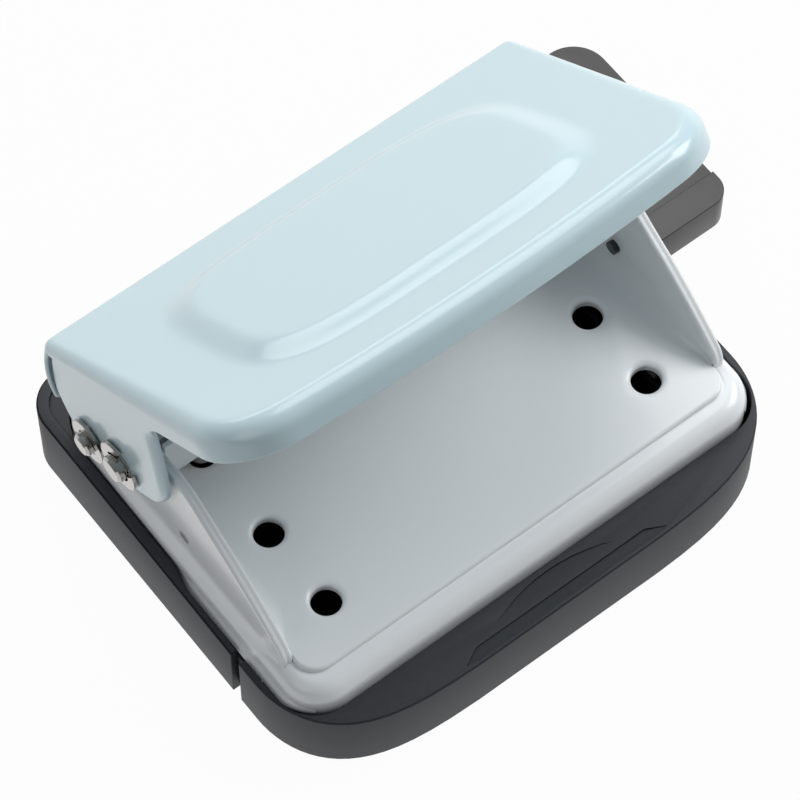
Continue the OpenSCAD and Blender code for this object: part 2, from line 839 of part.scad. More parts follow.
module lip_plan(inset) {
    polygon(lip_outline(inset));
    translate([-base_half + inset, -lip_start - 0.01])
        square([base_w - 2 * inset, lip_start - drawer_y + 0.01]);
}

module drawer_mouth() {
    intersection() {
        rounded(front_in, lip_in, 0, body_corner_front + slide_gap, 1);
        translate([-base_w, -base_front]) square([2 * base_w, base_front]);
    }
}

module drawer_lip() {
    difference() {
        translate([0, 0, base_low]) linear_extrude(rim_z - base_low) lip_plan(0);
        translate([0, 0, floor_top]) linear_extrude(40) drawer_mouth();
        translate([0, 0, floor_top]) linear_extrude(rim_z - lip_wall - floor_top) intersection() {
            lip_plan(lip_wall);
            translate([-front_in, -base_front]) square([2 * front_in, base_front - lip_in - 1.2]);
        }
        grip_marks();
    }
}

// A hollow that is deepest at its back edge and runs out at its front
module grip_wedge(front, back) {
    along_x(-base_half, base_w) polygon([[front, rim_z], [back, rim_z - grip_depth], [back, rim_z + 1],
        [front, rim_z + 1]]);
}

// Thumb rest and the long lens in front of it
module grip_marks() {
    thumb = bend([-thumb_half, thumb_y], [0, thumb_y + thumb_depth], [thumb_half, thumb_y]);
    lens = [[-lens_half, lens_tip], [-lens_half + lens_run, lens_back], [lens_half - lens_run, lens_back],
        [lens_half, lens_tip], [lens_half - lens_run, lens_front], [-lens_half + lens_run, lens_front]];
    intersection() {
        translate([0, 0, rim_z - 1]) linear_extrude(3) polygon(thumb);
        grip_wedge(thumb_y, thumb_y + thumb_depth / 2);
    }
    intersection() {
        translate([0, 0, rim_z - 1]) linear_extrude(3) polygon(lens);
        grip_wedge(lens_front, lens_back);
    }
}

module tray_floor_outline() {
    ramp = -guide_front - slip - tray_t;
    inside = ramp - 0.8;
    polygon([[-lip_in - 1, base_low], [-drawer_y, base_low], [-drawer_y, tray_low],
        [ramp - tray_ramp, tray_low], [ramp, shelf_low], [tray_back, shelf_low],
        [tray_back, shelf_low + tray_t], [inside, shelf_low + tray_t],
        [inside - tray_ramp, tray_low + tray_t], [-lip_in - 1, tray_low + tray_t]]);
}

module tray_side_outline() {
    ramp = -guide_front - slip - tray_t;
    polygon([[-lip_in - 1, tray_low], [ramp - tray_ramp, tray_low], [ramp, shelf_low],
        [tray_back, shelf_low], [tray_back, tray_top], [-lip_in - 1, tray_top]]);
}

module chip_drawer() {
    color("#46484d") {
        drawer_lip();
        along_x(-tray_half, 2 * tray_half) tray_floor_outline();
        both_ends() along_x(tray_half - tray_t, tray_t) tray_side_outline();
        translate([-tray_half, tray_back - tray_t, shelf_low])
            cube([2 * tray_half, tray_t, tray_top - shelf_low]);
    }
}

// Paper guide that draws out at the right, and the strap that holds it down

module guide_plan(left) {
    intersection() {
        translate([left, -guide_front]) square([guide_reach - left, guide_front + guide_back]);
        union() {
            translate([left, -guide_front]) square([guide_reach - left - guide_corner,
                guide_front + guide_back]);
            translate([guide_reach - guide_corner - 1, -guide_front + guide_tip])
                square([guide_corner + 1, guide_front + guide_back - guide_tip - guide_corner]);
            translate([guide_reach - guide_corner, guide_back - guide_corner]) circle(guide_corner);
            translate([guide_reach - guide_tip, -guide_front + guide_tip]) circle(guide_tip);
            translate([guide_reach - guide_corner - 1, -guide_front])
                square([guide_corner + 1 - guide_tip, guide_tip + 1]);
        }
    }
}

module guide_slot() {
    half = boss_r + slide_gap;
    left = screw_x;
    right = screw_x + guide_travel;
    translate([left, screw_ys[1] - half]) square([right - left, 2 * half]);
    for (x = [left, right]) translate([x, screw_ys[1]]) circle(half);
}

module paper_guide() {
    plate_h = guide_h - guide_step;
    color("#5f5c5a") translate([0, 0, guide_low]) difference() {
        union() {
            linear_extrude(plate_h) guide_plan(guide_inner);
            linear_extrude(guide_h) intersection() {
                guide_plan(guide_inner);
                translate([0, -guide_front]) square([guide_reach, guide_bar]);
            }
            translate([tongue_in, tongue_y[0], 0])
                cube([guide_inner - tongue_in + 1, tongue_y[1] - tongue_y[0], tongue_t]);
        }
        translate([guide_inner + guide_wall, -guide_front + guide_wall, -1])
            cube([guide_reach - guide_inner - 2 * guide_wall - guide_tip,
                guide_bar + guide_front, guide_h - guide_step - guide_wall + 1]);
        translate([guide_inner + guide_wall, guide_bar, -1])
            cube([guide_reach - guide_inner - 2 * guide_wall,
                guide_back - guide_wall - guide_bar - guide_corner, plate_h - guide_wall + 1]);
        translate([0, 0, -1]) linear_extrude(guide_h + 2) guide_slot();
    }
}

module guide_strap() {
    top = guide_low + tongue_t + strap_gap;
    y0 = tongue_y[0] - strap_gap - strap_t;
    y1 = tongue_y[1] + strap_gap + strap_t;
    color("#93969a") along_x(strap_x[0], strap_x[1] - strap_x[0]) polygon([
        [y0, floor_top], [y0, top + strap_t], [y1, top + strap_t], [y1, floor_top],
        [y1 - strap_t, floor_top], [y1 - strap_t, top], [y0 + strap_t, top], [y0 + strap_t, floor_top]]);
}

body();
die_plate();
paper_stop();
ear_studs();
guide_posts();
spring_cups();
spring_left();
spring_right();
press_bar();
punches();
lever();
pivot_shaft();
drive_shaft();
pivot_clips();
drive_clips();
pivot_washers();
drive_washers();
base_shell();
stand_offs();
base_screws();
rubber_sole();
chip_drawer();
paper_guide();
guide_strap();
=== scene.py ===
# %% [markdown]
# # A desk hole punch with a pressed lever
#
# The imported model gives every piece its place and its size. This lesson dresses it:
# pressed and enamelled sheet for the lever and the bed, moulded plastic for the base,
# plated steel for the shafts, and a plain studio round them.

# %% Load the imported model
import json
from math import asin, atan2, cos, degrees, dist, hypot, pi, radians, sin, sqrt, tan, tau

import bmesh
import bpy
from mathutils import Matrix, Vector

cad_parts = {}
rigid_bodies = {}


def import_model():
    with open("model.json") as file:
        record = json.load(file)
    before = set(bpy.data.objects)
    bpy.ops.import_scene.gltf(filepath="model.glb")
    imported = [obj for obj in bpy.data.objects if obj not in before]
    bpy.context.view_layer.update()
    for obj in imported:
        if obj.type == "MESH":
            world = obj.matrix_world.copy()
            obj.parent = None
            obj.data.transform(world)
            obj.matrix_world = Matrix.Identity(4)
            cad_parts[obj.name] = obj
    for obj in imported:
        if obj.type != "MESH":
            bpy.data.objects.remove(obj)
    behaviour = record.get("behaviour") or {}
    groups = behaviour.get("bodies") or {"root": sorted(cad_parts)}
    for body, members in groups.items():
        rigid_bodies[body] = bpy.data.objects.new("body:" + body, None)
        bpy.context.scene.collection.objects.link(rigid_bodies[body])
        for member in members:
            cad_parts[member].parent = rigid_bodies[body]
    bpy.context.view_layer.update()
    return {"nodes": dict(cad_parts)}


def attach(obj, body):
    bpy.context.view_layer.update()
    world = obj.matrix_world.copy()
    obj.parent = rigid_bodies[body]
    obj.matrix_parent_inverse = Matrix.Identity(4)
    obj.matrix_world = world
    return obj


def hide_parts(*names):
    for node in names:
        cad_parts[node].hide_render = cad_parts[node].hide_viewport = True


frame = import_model()
nodes = frame["nodes"]

# %% [markdown]
# ## Sizes
#
# Blender works in metres and the punch was drawn in millimetres, so every point goes
# through one factor. The sizes below are those of the drawing that the surfaces share:
# the bed's height, the pivot, and the angle at which the lever stands.

# %% Sizes in millimetres
MM = 0.001
BED = 24.5
PIVOT_Y, PIVOT_Z = 10.9, 34.5
TILT = radians(38.9)
print("bed at", BED, "pivot at", (PIVOT_Y, PIVOT_Z), "tilt in radians", round(TILT, 4))


# %% Curves for outlines
def smooth(t):
    """Goes from 0 to 1 as t does, with a level start and end."""
    t = min(max(t, 0.0), 1.0)
    return t * t * (3 - 2 * t)


def spread(start, end, steps):
    """Evenly spaced values from start to end."""
    return [start + (end - start) * i / steps for i in range(steps + 1)]


def turns(start, end, steps):
    """Evenly spaced angles in radians, between two that are given in degrees."""
    return [radians(a) for a in spread(start, end, steps)]


def arc(cx, cy, radius, start, end, steps):
    """Points of an arc, with the angles in degrees."""
    return [(cx + radius * cos(a), cy + radius * sin(a)) for a in turns(start, end, steps)]


def bend(p, q, r, steps):
    """Points of a curve from p to r that is drawn towards q."""
    found = []
    for i in range(steps + 1):
        t = i / steps
        a, b, c = (1 - t) ** 2, 2 * t * (1 - t), t * t
        found.append((a * p[0] + b * q[0] + c * r[0], a * p[1] + b * q[1] + c * r[1]))
    return found


def resample(points, gap):
    """The same line with a point about every gap millimetres."""
    found = [points[0]]
    for a, b in zip(points, points[1:]):
        length = dist(a, b)
        steps = max(1, round(length / gap))
        for i in range(1, steps + 1):
            t = i / steps
            found.append((a[0] + (b[0] - a[0]) * t, a[1] + (b[1] - a[1]) * t))
    return found


def circle(x, y, radius, z, count):
    """Points of a level circle."""
    angles = [tau * k / count for k in range(count)]
    return [(x + radius * cos(a), y + radius * sin(a), z) for a in angles]


def outward(line):
    """Adds to each point of a line the direction that leads off to its left side."""
    found = []
    for k, point in enumerate(line):
        before, after = line[max(k - 1, 0)], line[min(k + 1, len(line) - 1)]
        run = Vector((after[0] - before[0], after[1] - before[1])).normalized()
        found.append((*point, -run.y, run.x))
    return found


print("points of a quarter round:", len(arc(0, 0, 1, 0, 90, 8)))


# %% [markdown]
# ## A patchwork of surfaces
#
# Pressed sheet is a set of flats and rolled edges that share their borders. A band is a
# strip of quads between rows of points, and a plate is one flat face. All of them go into
# one mesh, and welding joins points that lie on each other, so the light runs across the
# borders without a seam. A cube with modifiers gives no such control over where a fold ends.

# %% Patchwork builder
class Patchwork:
    def __init__(self):
        self.points = []
        self.faces = []

    def band(self, rows, closed=False):
        """A strip of quads between rows of equally many points."""
        start, count = len(self.points), len(rows[0])
        for row in rows:
            self.points.extend(row)
        for r in range(len(rows) - 1):
            for k in range(count if closed else count - 1):
                a = start + r * count + k
                b = start + r * count + (k + 1) % count
                self.faces.append((a, b, b + count, a + count))

    def plate(self, outline):
        """One flat face."""
        start = len(self.points)
        self.points.extend(outline)
        self.faces.append(tuple(range(start, start + len(outline))))

    def prism(self, near, far):
        """Walls between two equal outlines, and both ends."""
        self.band([near, far], closed=True)
        self.plate(near)
        self.plate(far)

    def piece(self, name, up, weld=0.03):
        """Makes the mesh, turned so that the largest face that lies across up faces up."""
        mesh = bpy.data.meshes.new(name)
        mesh.from_pydata([Vector(p) * MM for p in self.points], [], self.faces)
        made = bmesh.new()
        made.from_mesh(mesh)
        bmesh.ops.remove_doubles(made, verts=made.verts, dist=weld * MM)
        bmesh.ops.dissolve_degenerate(made, dist=weld * MM * 0.2, edges=made.edges)
        bmesh.ops.recalc_face_normals(made, faces=made.faces)
        up = Vector(up).normalized()
        biggest = max(made.faces, key=lambda face: face.calc_area() * abs(face.normal.dot(up)))
        if biggest.normal.dot(up) < 0:
            bmesh.ops.reverse_faces(made, faces=made.faces)
        made.to_mesh(mesh)
        made.free()
        return dressed(name, mesh)


# %% Pieces in the scene
SHARP = radians(38)


def placed(name, data):
    """A new object in the scene, for a mesh, a lamp or the camera."""
    made = bpy.data.objects.new(name, data)
    bpy.context.scene.collection.objects.link(made)
    return made


def smoothed(mesh):
    """Shades a mesh smooth, except over edges sharper than the limit."""
    mesh.shade_smooth()
    mesh.set_sharp_from_angle(angle=SHARP)
    return mesh


def dressed(name, mesh):
    """Puts a mesh in the scene as a smooth piece."""
    return placed(name, smoothed(mesh))


def settle(piece):
    """Applies the modifiers of a piece, so that its mesh is final."""
    graph = bpy.context.evaluated_depsgraph_get()
    mesh = bpy.data.meshes.new_from_object(piece.evaluated_get(graph))
    piece.modifiers.clear()
    piece.data = smoothed(mesh)
    return piece


def thicken(piece, thickness):
    """Gives a single skin the thickness of its sheet, downwards and inwards."""
    sheet = piece.modifiers.new("sheet", "SOLIDIFY")
    sheet.thickness = thickness * MM
    sheet.offset = -1
    return settle(piece)


def strip(name, rows, up):
    """A piece that is one band."""
    work = Patchwork()
    work.band(rows)
    return work.piece(name, up)


print("edges stay crisp over", round(degrees(SHARP)), "degrees")


# %% [markdown]
# ## The lever's outline
#
# The lever is one pressed sheet: a flat top, an edge that folds down, and a lip. The fold's
# radius is 4 mm round the front and narrows to a crisp corner at the back. Each station below
# is a point where the fold starts, with the direction in which it folds and its radius.
# Lever points are x, s forwards from the pivot and h upwards from it, with the lever
# pressed down, and a turn about the pivot then raises them.

# %% Lever stations
LEVER_HALF = 57.95
LEVER_REACH = 81.5
LEVER_TOP = 22.4
LEVER_CORNER = 15.8
LEVER_BOW = 2.5
LEVER_SHEET = 1.0
LEVER_BACK = -0.7
FOLD = 4.0
BACK_FOLD = 2.1
LIP_LOW = LEVER_TOP - 7.4
SIDE_STEPS, CORNER_STEPS, FRONT_STEPS = 44, 16, 24
side_x = LEVER_HALF - LEVER_CORNER
bow_radius = (side_x ** 2 + LEVER_BOW ** 2) / (2 * LEVER_BOW)
bow_angle = degrees(asin(side_x / (bow_radius - LEVER_CORNER)))
bow_s = LEVER_REACH - bow_radius
corner_s = bow_s + sqrt((bow_radius - LEVER_CORNER) ** 2 - side_x ** 2)


def raised(x, s, h):
    """A lever point turned up to where the lever stands."""
    return (x, PIVOT_Y - s * cos(TILT) + h * sin(TILT),
            PIVOT_Z + s * sin(TILT) + h * cos(TILT))


def side_fold(s):
    """The fold's radius along a side, which grows evenly from the crisp back corner."""
    return BACK_FOLD + (FOLD - BACK_FOLD) * (s - LEVER_BACK) / (corner_s - LEVER_BACK)


def lever_stations():
    """(x, s, outward x, outward s, fold radius) from the back right round the front."""
    right = []
    for s in spread(LEVER_BACK, corner_s, SIDE_STEPS)[:-1]:
        r = side_fold(s)
        right.append((LEVER_HALF - r, s, 1.0, 0.0, r))
    r = LEVER_CORNER - FOLD
    for a in turns(0, 90 - bow_angle, CORNER_STEPS):
        right.append((side_x + r * cos(a), corner_s + r * sin(a),
                      cos(a), sin(a), FOLD))
    r = bow_radius - FOLD
    for i in range(1, FRONT_STEPS + 1):
        a = radians(bow_angle * (1 - i / FRONT_STEPS))
        right.append((r * sin(a), bow_s + r * cos(a), sin(a), cos(a), FOLD))
    left = [(-x, s, -nx, ns, r) for x, s, nx, ns, r in reversed(right[:-1])]
    return right + left


stations = lever_stations()
LIP = [t for t in stations if t[1] >= corner_s - 0.001]
SIDE = [t for t in stations if t[1] <= corner_s + 0.001 and t[0] > 0]
print("lever stations:", len(stations), "corner starts at", round(corner_s, 2))

# %% [markdown]
# ## The lever's top and its raised pad
#
# The pad is pressed up by less than two millimetres, with soft slopes, so it shows only by
# its light and shade. Rings run from the fold inwards: first flat, then up the slope, then
# flat again. A superellipse gives the pad its long sides and full corners. The inner skin of
# the sheet is the same set of rings, one thickness lower.

# %% Top of the lever
PAD_MID = 39.3
PAD_HALF = (42.2, 30.0)
PAD_POWER = 4.0
PAD_RISE = 1.75
PAD_SLOPE = 7.2
SLOPE_STEPS = 14
BACK_POINTS = 60


def pad_ring(inset, angle):
    """The point of the pad's outline, drawn in by so much, that lies in this direction."""
    a, b = PAD_HALF[0] - inset, PAD_HALF[1] - inset
    across = abs(cos(angle) / a) ** PAD_POWER
    along = abs(sin(angle) / b) ** PAD_POWER
    reach = (across + along) ** (-1 / PAD_POWER)
    return reach * cos(angle), PAD_MID + reach * sin(angle)


def back_line():
    """Points along the back fold, from left to right."""
    half = LEVER_HALF - BACK_FOLD
    return [(x, LEVER_BACK) for x in spread(-half, half, BACK_POINTS)]


def lever_top(work, sink):
    """One skin of the top, sunk by so much below the outer one."""
    edge = [(t[0], t[1]) for t in stations] + back_line()[1:-1]
    angles = [atan2(s - PAD_MID, x) for x, s in edge]
    top = LEVER_TOP - sink
    rows = [[raised(x, s, top) for x, s in edge]]
    for share in (0.04, 0.3, 0.62, 0.94):
        ring = []
        for (x, s), angle in zip(edge, angles):
            px, ps = pad_ring(0, angle)
            ring.append(raised(x + (px - x) * share, s + (ps - s) * share, top))
        rows.append(ring)
    for i in range(SLOPE_STEPS + 1):
        rise, inset = PAD_RISE * smooth(i / SLOPE_STEPS), PAD_SLOPE * i / SLOPE_STEPS
        rows.append([raised(*pad_ring(inset, angle), top + rise) for angle in angles])
    for share in (0.94, 0.7, 0.4, 0.15):
        ring = []
        for angle in angles:
            px, ps = pad_ring(PAD_SLOPE, angle)
            ring.append(raised(px * share, PAD_MID + (ps - PAD_MID) * share, top + PAD_RISE))
        rows.append(ring)
    work.band(rows, closed=True)
    work.plate(rows[-1])


print("points round the lever's top:", len(stations) + BACK_POINTS - 1)

# %% [markdown]
# ## Edges of sheet metal
#
# A cut edge of enamelled sheet is rounded by its paint. The front edges of the legs are also
# turned inwards as a flange, which stiffens them and gives them their broad soft highlight.
# Both edges are a profile of n, inwards from the outline, and d, down from the outer face,
# and a share between 0 and 1 blends a plain edge into a flange.

# %% Edge profiles
FLANGE = 1.7
SUPPORT = 0.3


def plain_edge():
    """A full round over the cut edge."""
    r = LEVER_SHEET / 2
    round_edge = [(r - r * sin(a), r - r * cos(a)) for a in turns(0, 180, 18)]
    return [(r + SUPPORT, 0.0)] + round_edge + [(r + SUPPORT, LEVER_SHEET)]


def flange_edge():
    """A quarter turn inwards, round the cut edge, and a quarter turn back inside."""
    r, t = FLANGE, LEVER_SHEET
    quarter, cut = turns(0, 90, 6), turns(30, 150, 4)
    points = [(r + SUPPORT, 0.0)]
    points += [(r - r * sin(a), r - r * cos(a)) for a in quarter]
    points += [(t / 2 - t / 2 * cos(a), r + t / 2 * sin(a)) for a in cut]
    points += [(r - (r - t) * cos(a), r - (r - t) * sin(a)) for a in quarter]
    return points + [(r + SUPPORT, t)]


PLAIN, FLANGED = plain_edge(), flange_edge()


def edge_point(step, share):
    """A point of the edge that is so much of a flange."""
    (n0, d0), (n1, d1) = PLAIN[step], FLANGED[step]
    return n0 + (n1 - n0) * share, d0 + (d1 - d0) * share


print("edge points:", len(PLAIN), len(FLANGED))

# %% [markdown]
# ## The fold, the lip and the legs
#
# Round the front one row of profiles makes the whole lip: over the fold, down, round the
# edge and up inside. On the sides the outer and the inner fold run into the legs, flat
# plates with their own outline.

# %% Lip and folds
def fold_rows(marks, sink, steps=9):
    """Rows round the fold, for the outer skin or for the inner one."""
    rows = []
    for a in turns(0, 90, steps):
        down, out = cos(a), sin(a)
        rows.append([raised(x + nx * (r - sink) * out, s + ns * (r - sink) * out,
                            LEVER_TOP - r + (r - sink) * down) for x, s, nx, ns, r in marks])
    return rows


def seam_row(marks, sink):
    """The row just under the fold, which keeps the light off the flat part steady."""
    return [raised(x + nx * (r - sink), s + ns * (r - sink), LEVER_TOP - r - SUPPORT)
            for x, s, nx, ns, r in marks]


def lip_rows(marks):
    """Rows round the lip's lower edge, from the outside to the inside."""
    return [[raised(x + nx * (r - d), s + ns * (r - d), LIP_LOW + n) for x, s, nx, ns, r in marks]
            for n, d in PLAIN]


def lever_lip(work):
    outer = fold_rows(LIP, 0.0) + [seam_row(LIP, 0.0)]
    inner = [seam_row(LIP, LEVER_SHEET)] + fold_rows(LIP, LEVER_SHEET)[::-1]
    work.band(outer + lip_rows(LIP) + inner)


print("stations of the lip and of one side:", len(LIP), len(SIDE))

# %% Legs
LEG_GAP = 0.9
FLANGE_START, FLANGE_END = 20.0, 41.5


def leg_line():
    """Lower border of a side, from the front corner back to the top of the rear edge."""
    notch = bend((46.5, LIP_LOW), (38.8, LIP_LOW + 0.3), (36.0, 9.6), 14)
    front = bend((36.0, 9.6), (32.8, 3.4), (29.2, -2.6), 8)
    tip = bend((29.2, -2.6), (26.4, -8.6), (20.2, -8.9), 10)
    under = bend((14.5, -8.8), (11.8, -8.4), (8.8, -7.3), 4)
    heel = bend((-3.0, -5.2), (-6.8, -4.2), (-7.3, 1.0), 8)
    rear = bend((-7.3, 1.0), (-8.1, 9.6), (-4.4, 14.0), 10)
    crook = bend((-4.4, 14.0), (-2.4, 16.8), (0.8, 19.9), 5)
    line = [(corner_s, LIP_LOW)] + notch + front[1:] + tip[1:] + under + heel + rear[1:] + crook[1:]
    return resample(line, LEG_GAP)


def flange_share(s, h):
    """1 along the leg's front edge, fading out into the notch and the toe."""
    if h > LIP_LOW - 0.01:
        return 0.0
    return smooth((FLANGE_END - s) / 5.5) * smooth((s - FLANGE_START) / 6)


def lever_leg(work, mirror):
    """A leg on the right, or with mirror -1 on the left: its edge, and two skins with folds."""
    line = leg_line()
    marks = [(s, h, -ns, -nh, flange_share(s, h)) for s, h, ns, nh in outward(line)]
    marks[0] = (*line[0], 0.0, 1.0, marks[0][-1])
    rows = []
    for step in range(len(PLAIN)):
        row = []
        for s, h, ns, nh, share in marks:
            n, d = edge_point(step, share)
            row.append(raised(mirror * (LEVER_HALF - d), s + ns * n, h + nh * n))
        rows.append(row)
    work.band(rows)
    side = [(mirror * x, s, mirror * nx, ns, r) for x, s, nx, ns, r in SIDE]
    seams = []
    for sink, row in ((0.0, rows[0]), (LEVER_SHEET, rows[-1])):
        seam = seam_row(side, sink)
        seams.append(seam[0])
        work.band(fold_rows(side, sink) + [seam])
        work.plate(seam + row)
    rear_end = [row[-1] for row in rows]
    work.plate([rear_end[0], *seams, *rear_end[:0:-1]])


print("points round a leg:", len(leg_line()))

# %% [markdown]
# ## The lever's back
#
# Behind the pivot the top folds over and slopes down as a wide wall. It is bent, not joined:
# at each end the wall rolls forwards round a small radius, and a narrow slit parts it from
# the leg. The two folds and the roll meet in a ball-shaped corner, whose three borders are
# quarter circles of one radius, so the pieces weld without a step.

# %% Back wall of the lever
WALL_ANGLE = radians(57.1)
WALL_FOOT = 6.6
ROLL_STEPS = 9
ROLL_TURN, ROLL_LEAST = 70.0, 12.0
WALL_BULGE = 1.0
ROLL_RELIEF = 2.0
FOOT_CORNER = 3.0
FOLD_STEPS, WALL_STEPS = 8, 40
back_half = LEVER_HALF - BACK_FOLD
wall_top = (LEVER_BACK - BACK_FOLD * sin(WALL_ANGLE),
            LEVER_TOP - BACK_FOLD * (1 - cos(WALL_ANGLE)))
wall_length = (wall_top[1] - WALL_FOOT) / sin(WALL_ANGLE)


def ball_row(side, r, a):
    """A row of the ball-shaped corner, so far round the back fold."""
    row = []
    for b in turns(0, 90, ROLL_STEPS):
        row.append(raised(side * (back_half + r * sin(b)),
                          LEVER_BACK - r * sin(a) * cos(b),
                          LEVER_TOP - BACK_FOLD + r * cos(a) * cos(b)))
    return row


def back_fold(work, sink):
    """One skin of the fold from the top into the wall, with a ball-shaped corner at each end."""
    r = BACK_FOLD - sink
    angles = spread(0, WALL_ANGLE, FOLD_STEPS)
    work.band([[raised(x, LEVER_BACK - r * sin(a), LEVER_TOP - BACK_FOLD + r * cos(a))
                for x, _ in back_line()] for a in angles])
    for side in (1, -1):
        work.band([ball_row(side, r, a) for a in angles])


def wall_end(turn):
    """One end of the wall's section as (x past the flat part, depth), out and back inside."""
    outer, inner = BACK_FOLD, BACK_FOLD - LEVER_SHEET
    angles = turns(0, turn, ROLL_STEPS)[1:]
    points = [(outer * sin(a), outer - outer * cos(a)) for a in angles]
    mid, half = (outer + inner) / 2, LEVER_SHEET / 2
    a = angles[-1]
    for b in turns(30, 150, 4):
        reach = mid + half * cos(b)
        points.append((reach * sin(a) + half * sin(b) * cos(a),
                       outer - reach * cos(a) + half * sin(b) * sin(a)))
    return points + [(inner * sin(a), outer - inner * cos(a)) for a in reversed(angles)]


def wall_section(down, turn):
    """The closed section of the back wall, so far down its slope."""
    wide = 1 + WALL_BULGE * sin(pi * (down / wall_length) ** 0.8) / back_half
    flat = [x for x, _ in back_line()]
    end = wall_end(turn)
    loop = [(x * wide, 0.0) for x in flat] + [(back_half * wide + x, q) for x, q in end]
    loop += [(x * wide, LEVER_SHEET) for x in reversed(flat)]
    loop += [(-back_half * wide - x, q) for x, q in reversed(end)]
    across, along = sin(WALL_ANGLE), cos(WALL_ANGLE)
    s0, h0 = wall_top[0] - along * down, wall_top[1] - across * down
    return [raised(x, s0 + across * q, h0 - along * q) for x, q in loop]


def lever_back(work):
    """Both skins of the fold, and the wall, whose roll opens a little and fades at the foot."""
    back_fold(work, 0.0)
    back_fold(work, LEVER_SHEET)
    rows = []
    for down in spread(0, wall_length, WALL_STEPS):
        near_foot = max(down - wall_length + FOOT_CORNER, 0) / FOOT_CORNER
        turn = 90 - (90 - ROLL_TURN) * smooth(down / ROLL_RELIEF)
        rows.append(wall_section(down, max(turn * sqrt(1 - near_foot ** 2), ROLL_LEAST)))
    work.band(rows, closed=True)
    work.plate(rows[-1])


print("length of the back wall:", round(wall_length, 2))


# %% The pressed lever
def pressed_lever():
    work = Patchwork()
    lever_top(work, 0.0)
    lever_top(work, LEVER_SHEET)
    lever_lip(work)
    lever_leg(work, 1)
    lever_leg(work, -1)
    lever_back(work)
    return work.piece("lever_shell", raised(0, 0, 1000))


lever_shell = pressed_lever()
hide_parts("lever")
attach(lever_shell, "lever")
print("lever faces:", len(lever_shell.data.polygons))

# %% [markdown]
# ## The bed
#
# The body under the lever is a second pressing. Its bed stands a millimetre above a narrow
# band, whose edge rolls down into the walls, and its rear corners are rounder than the front
# ones. Closed rings round the bed make the step and the roll, and one flat face with round
# openings fills the middle. Each hole has a drawn edge: the sheet dips softly into it, and
# the paint catches the light there. A bevel can't make such a dip, so it is rings as well.

# %% Bed, band and walls
BED_BACK_IN = 25.0
BACK_ROUNDER = 6.0
BODY_SHEET = 0.95
STEP_ROUND = 0.6
STEP_HALF, STEP_FRONT, STEP_R = 51.95, 51.65, 4.2
BAND_HALF, BAND_FRONT, BAND_R, BAND_SINK = 52.8, 53.8, 5.0, 1.0
# Rings as half width, reach to the front, radius of the front corners, height over the bed
FLAT_RINGS = ((51.2, 50.9, 3.4, 0.0), (51.9, 51.6, 4.1, 0.0))
GROOVE_RINGS = ((52.6, 52.32, 4.85, -1.12), (52.72, 52.6, 5.0, -1.2), (52.8, 53.1, 5.1, -1.12))
WALL_RINGS = ((56.8, 57.8, 9.0, -6.0), (56.8, 57.8, 9.0, -10.5))


def bed_loop(half, front, front_r, z):
    """One rounded ring of the body, whose back corners are rounder than the front ones."""
    back = half - BED_BACK_IN
    back_r = front_r + BACK_ROUNDER
    half_loop = [(x, -front) for x in spread(0, half - front_r, 30)[:-1]]
    half_loop += arc(half - front_r, -front + front_r, front_r, -90, 0, 14)
    y0, y1 = -front + front_r, back - back_r
    half_loop += [(half, y) for y in spread(y0, y1, 40)[1:-1]]
    half_loop += arc(half - back_r, back - back_r, back_r, 0, 90, 8)
    half_loop += [((half - back_r) * (1 - i / 12), back) for i in range(1, 13)]
    whole = half_loop + [(-x, y) for x, y in reversed(half_loop[1:-1])]
    return [(x, y, BED + z) for x, y in whole]


def bed_rings():
    """Rings from the flat bed over the step, the groove and the roll, down into the walls."""
    rows = [bed_loop(*ring) for ring in FLAT_RINGS]
    for a in turns(15, 90, 5):
        grow, sink = STEP_ROUND * sin(a), STEP_ROUND * (1 - cos(a))
        rows.append(bed_loop(STEP_HALF + grow, STEP_FRONT + grow, STEP_R + grow, -sink))
    rows += [bed_loop(*ring) for ring in GROOVE_RINGS]
    for a in turns(9, 90, 9):
        grow, sink = FOLD * sin(a), FOLD * (1 - cos(a))
        rows.append(bed_loop(BAND_HALF + grow, BAND_FRONT + grow, BAND_R + grow, -BAND_SINK - sink))
    return rows + [bed_loop(*ring) for ring in WALL_RINGS]


print("rings of the bed:", len(bed_rings()), "points in each:", len(bed_rings()[0]))


# %% Holes of the bed
HOLE_XS = (-40.0, 40.0)
HOLE_YS = (-40.7, -22.1, 0.0)
HOLE_R, HOLE_POINTS = 3.15, 48
DIP_WIDE, DIP_DEEP, DIP_POWER = 1.5, 0.9, 1.1
CUP_XY = ((-48.2, 5.6), (48.2, 5.6))
CUP_R, CUP_POINTS = 2.85, 32


def hole_rings(x, y):
    """Rings of a drawn hole, from the flat sheet over the dip to the inner wall."""
    profile = [(HOLE_R + 2.6, 0.0), (HOLE_R + 2.0, 0.0)]
    for a in turns(10, 90, 10):
        profile.append((HOLE_R + DIP_WIDE * (1 - sin(a)) ** DIP_POWER,
                        -DIP_DEEP * (1 - cos(a))))
    profile += [(HOLE_R, -1.4), (HOLE_R, -2.1)]
    return [circle(x, y, r, BED + z, HOLE_POINTS) for r, z in profile]


def flat_with_openings(work, outer, openings):
    """Fills a flat outline with faces and leaves the openings free."""
    made = bmesh.new()
    for loop in [outer] + openings:
        verts = [made.verts.new(p) for p in loop]
        for a, b in zip(verts, verts[1:] + verts[:1]):
            made.edges.new((a, b))
    bmesh.ops.triangle_fill(made, use_beauty=True, use_dissolve=False, edges=made.edges)
    start = len(work.points)
    made.verts.index_update()
    work.points.extend(tuple(v.co) for v in made.verts)
    work.faces.extend(tuple(start + v.index for v in f.verts) for f in made.faces)
    made.free()


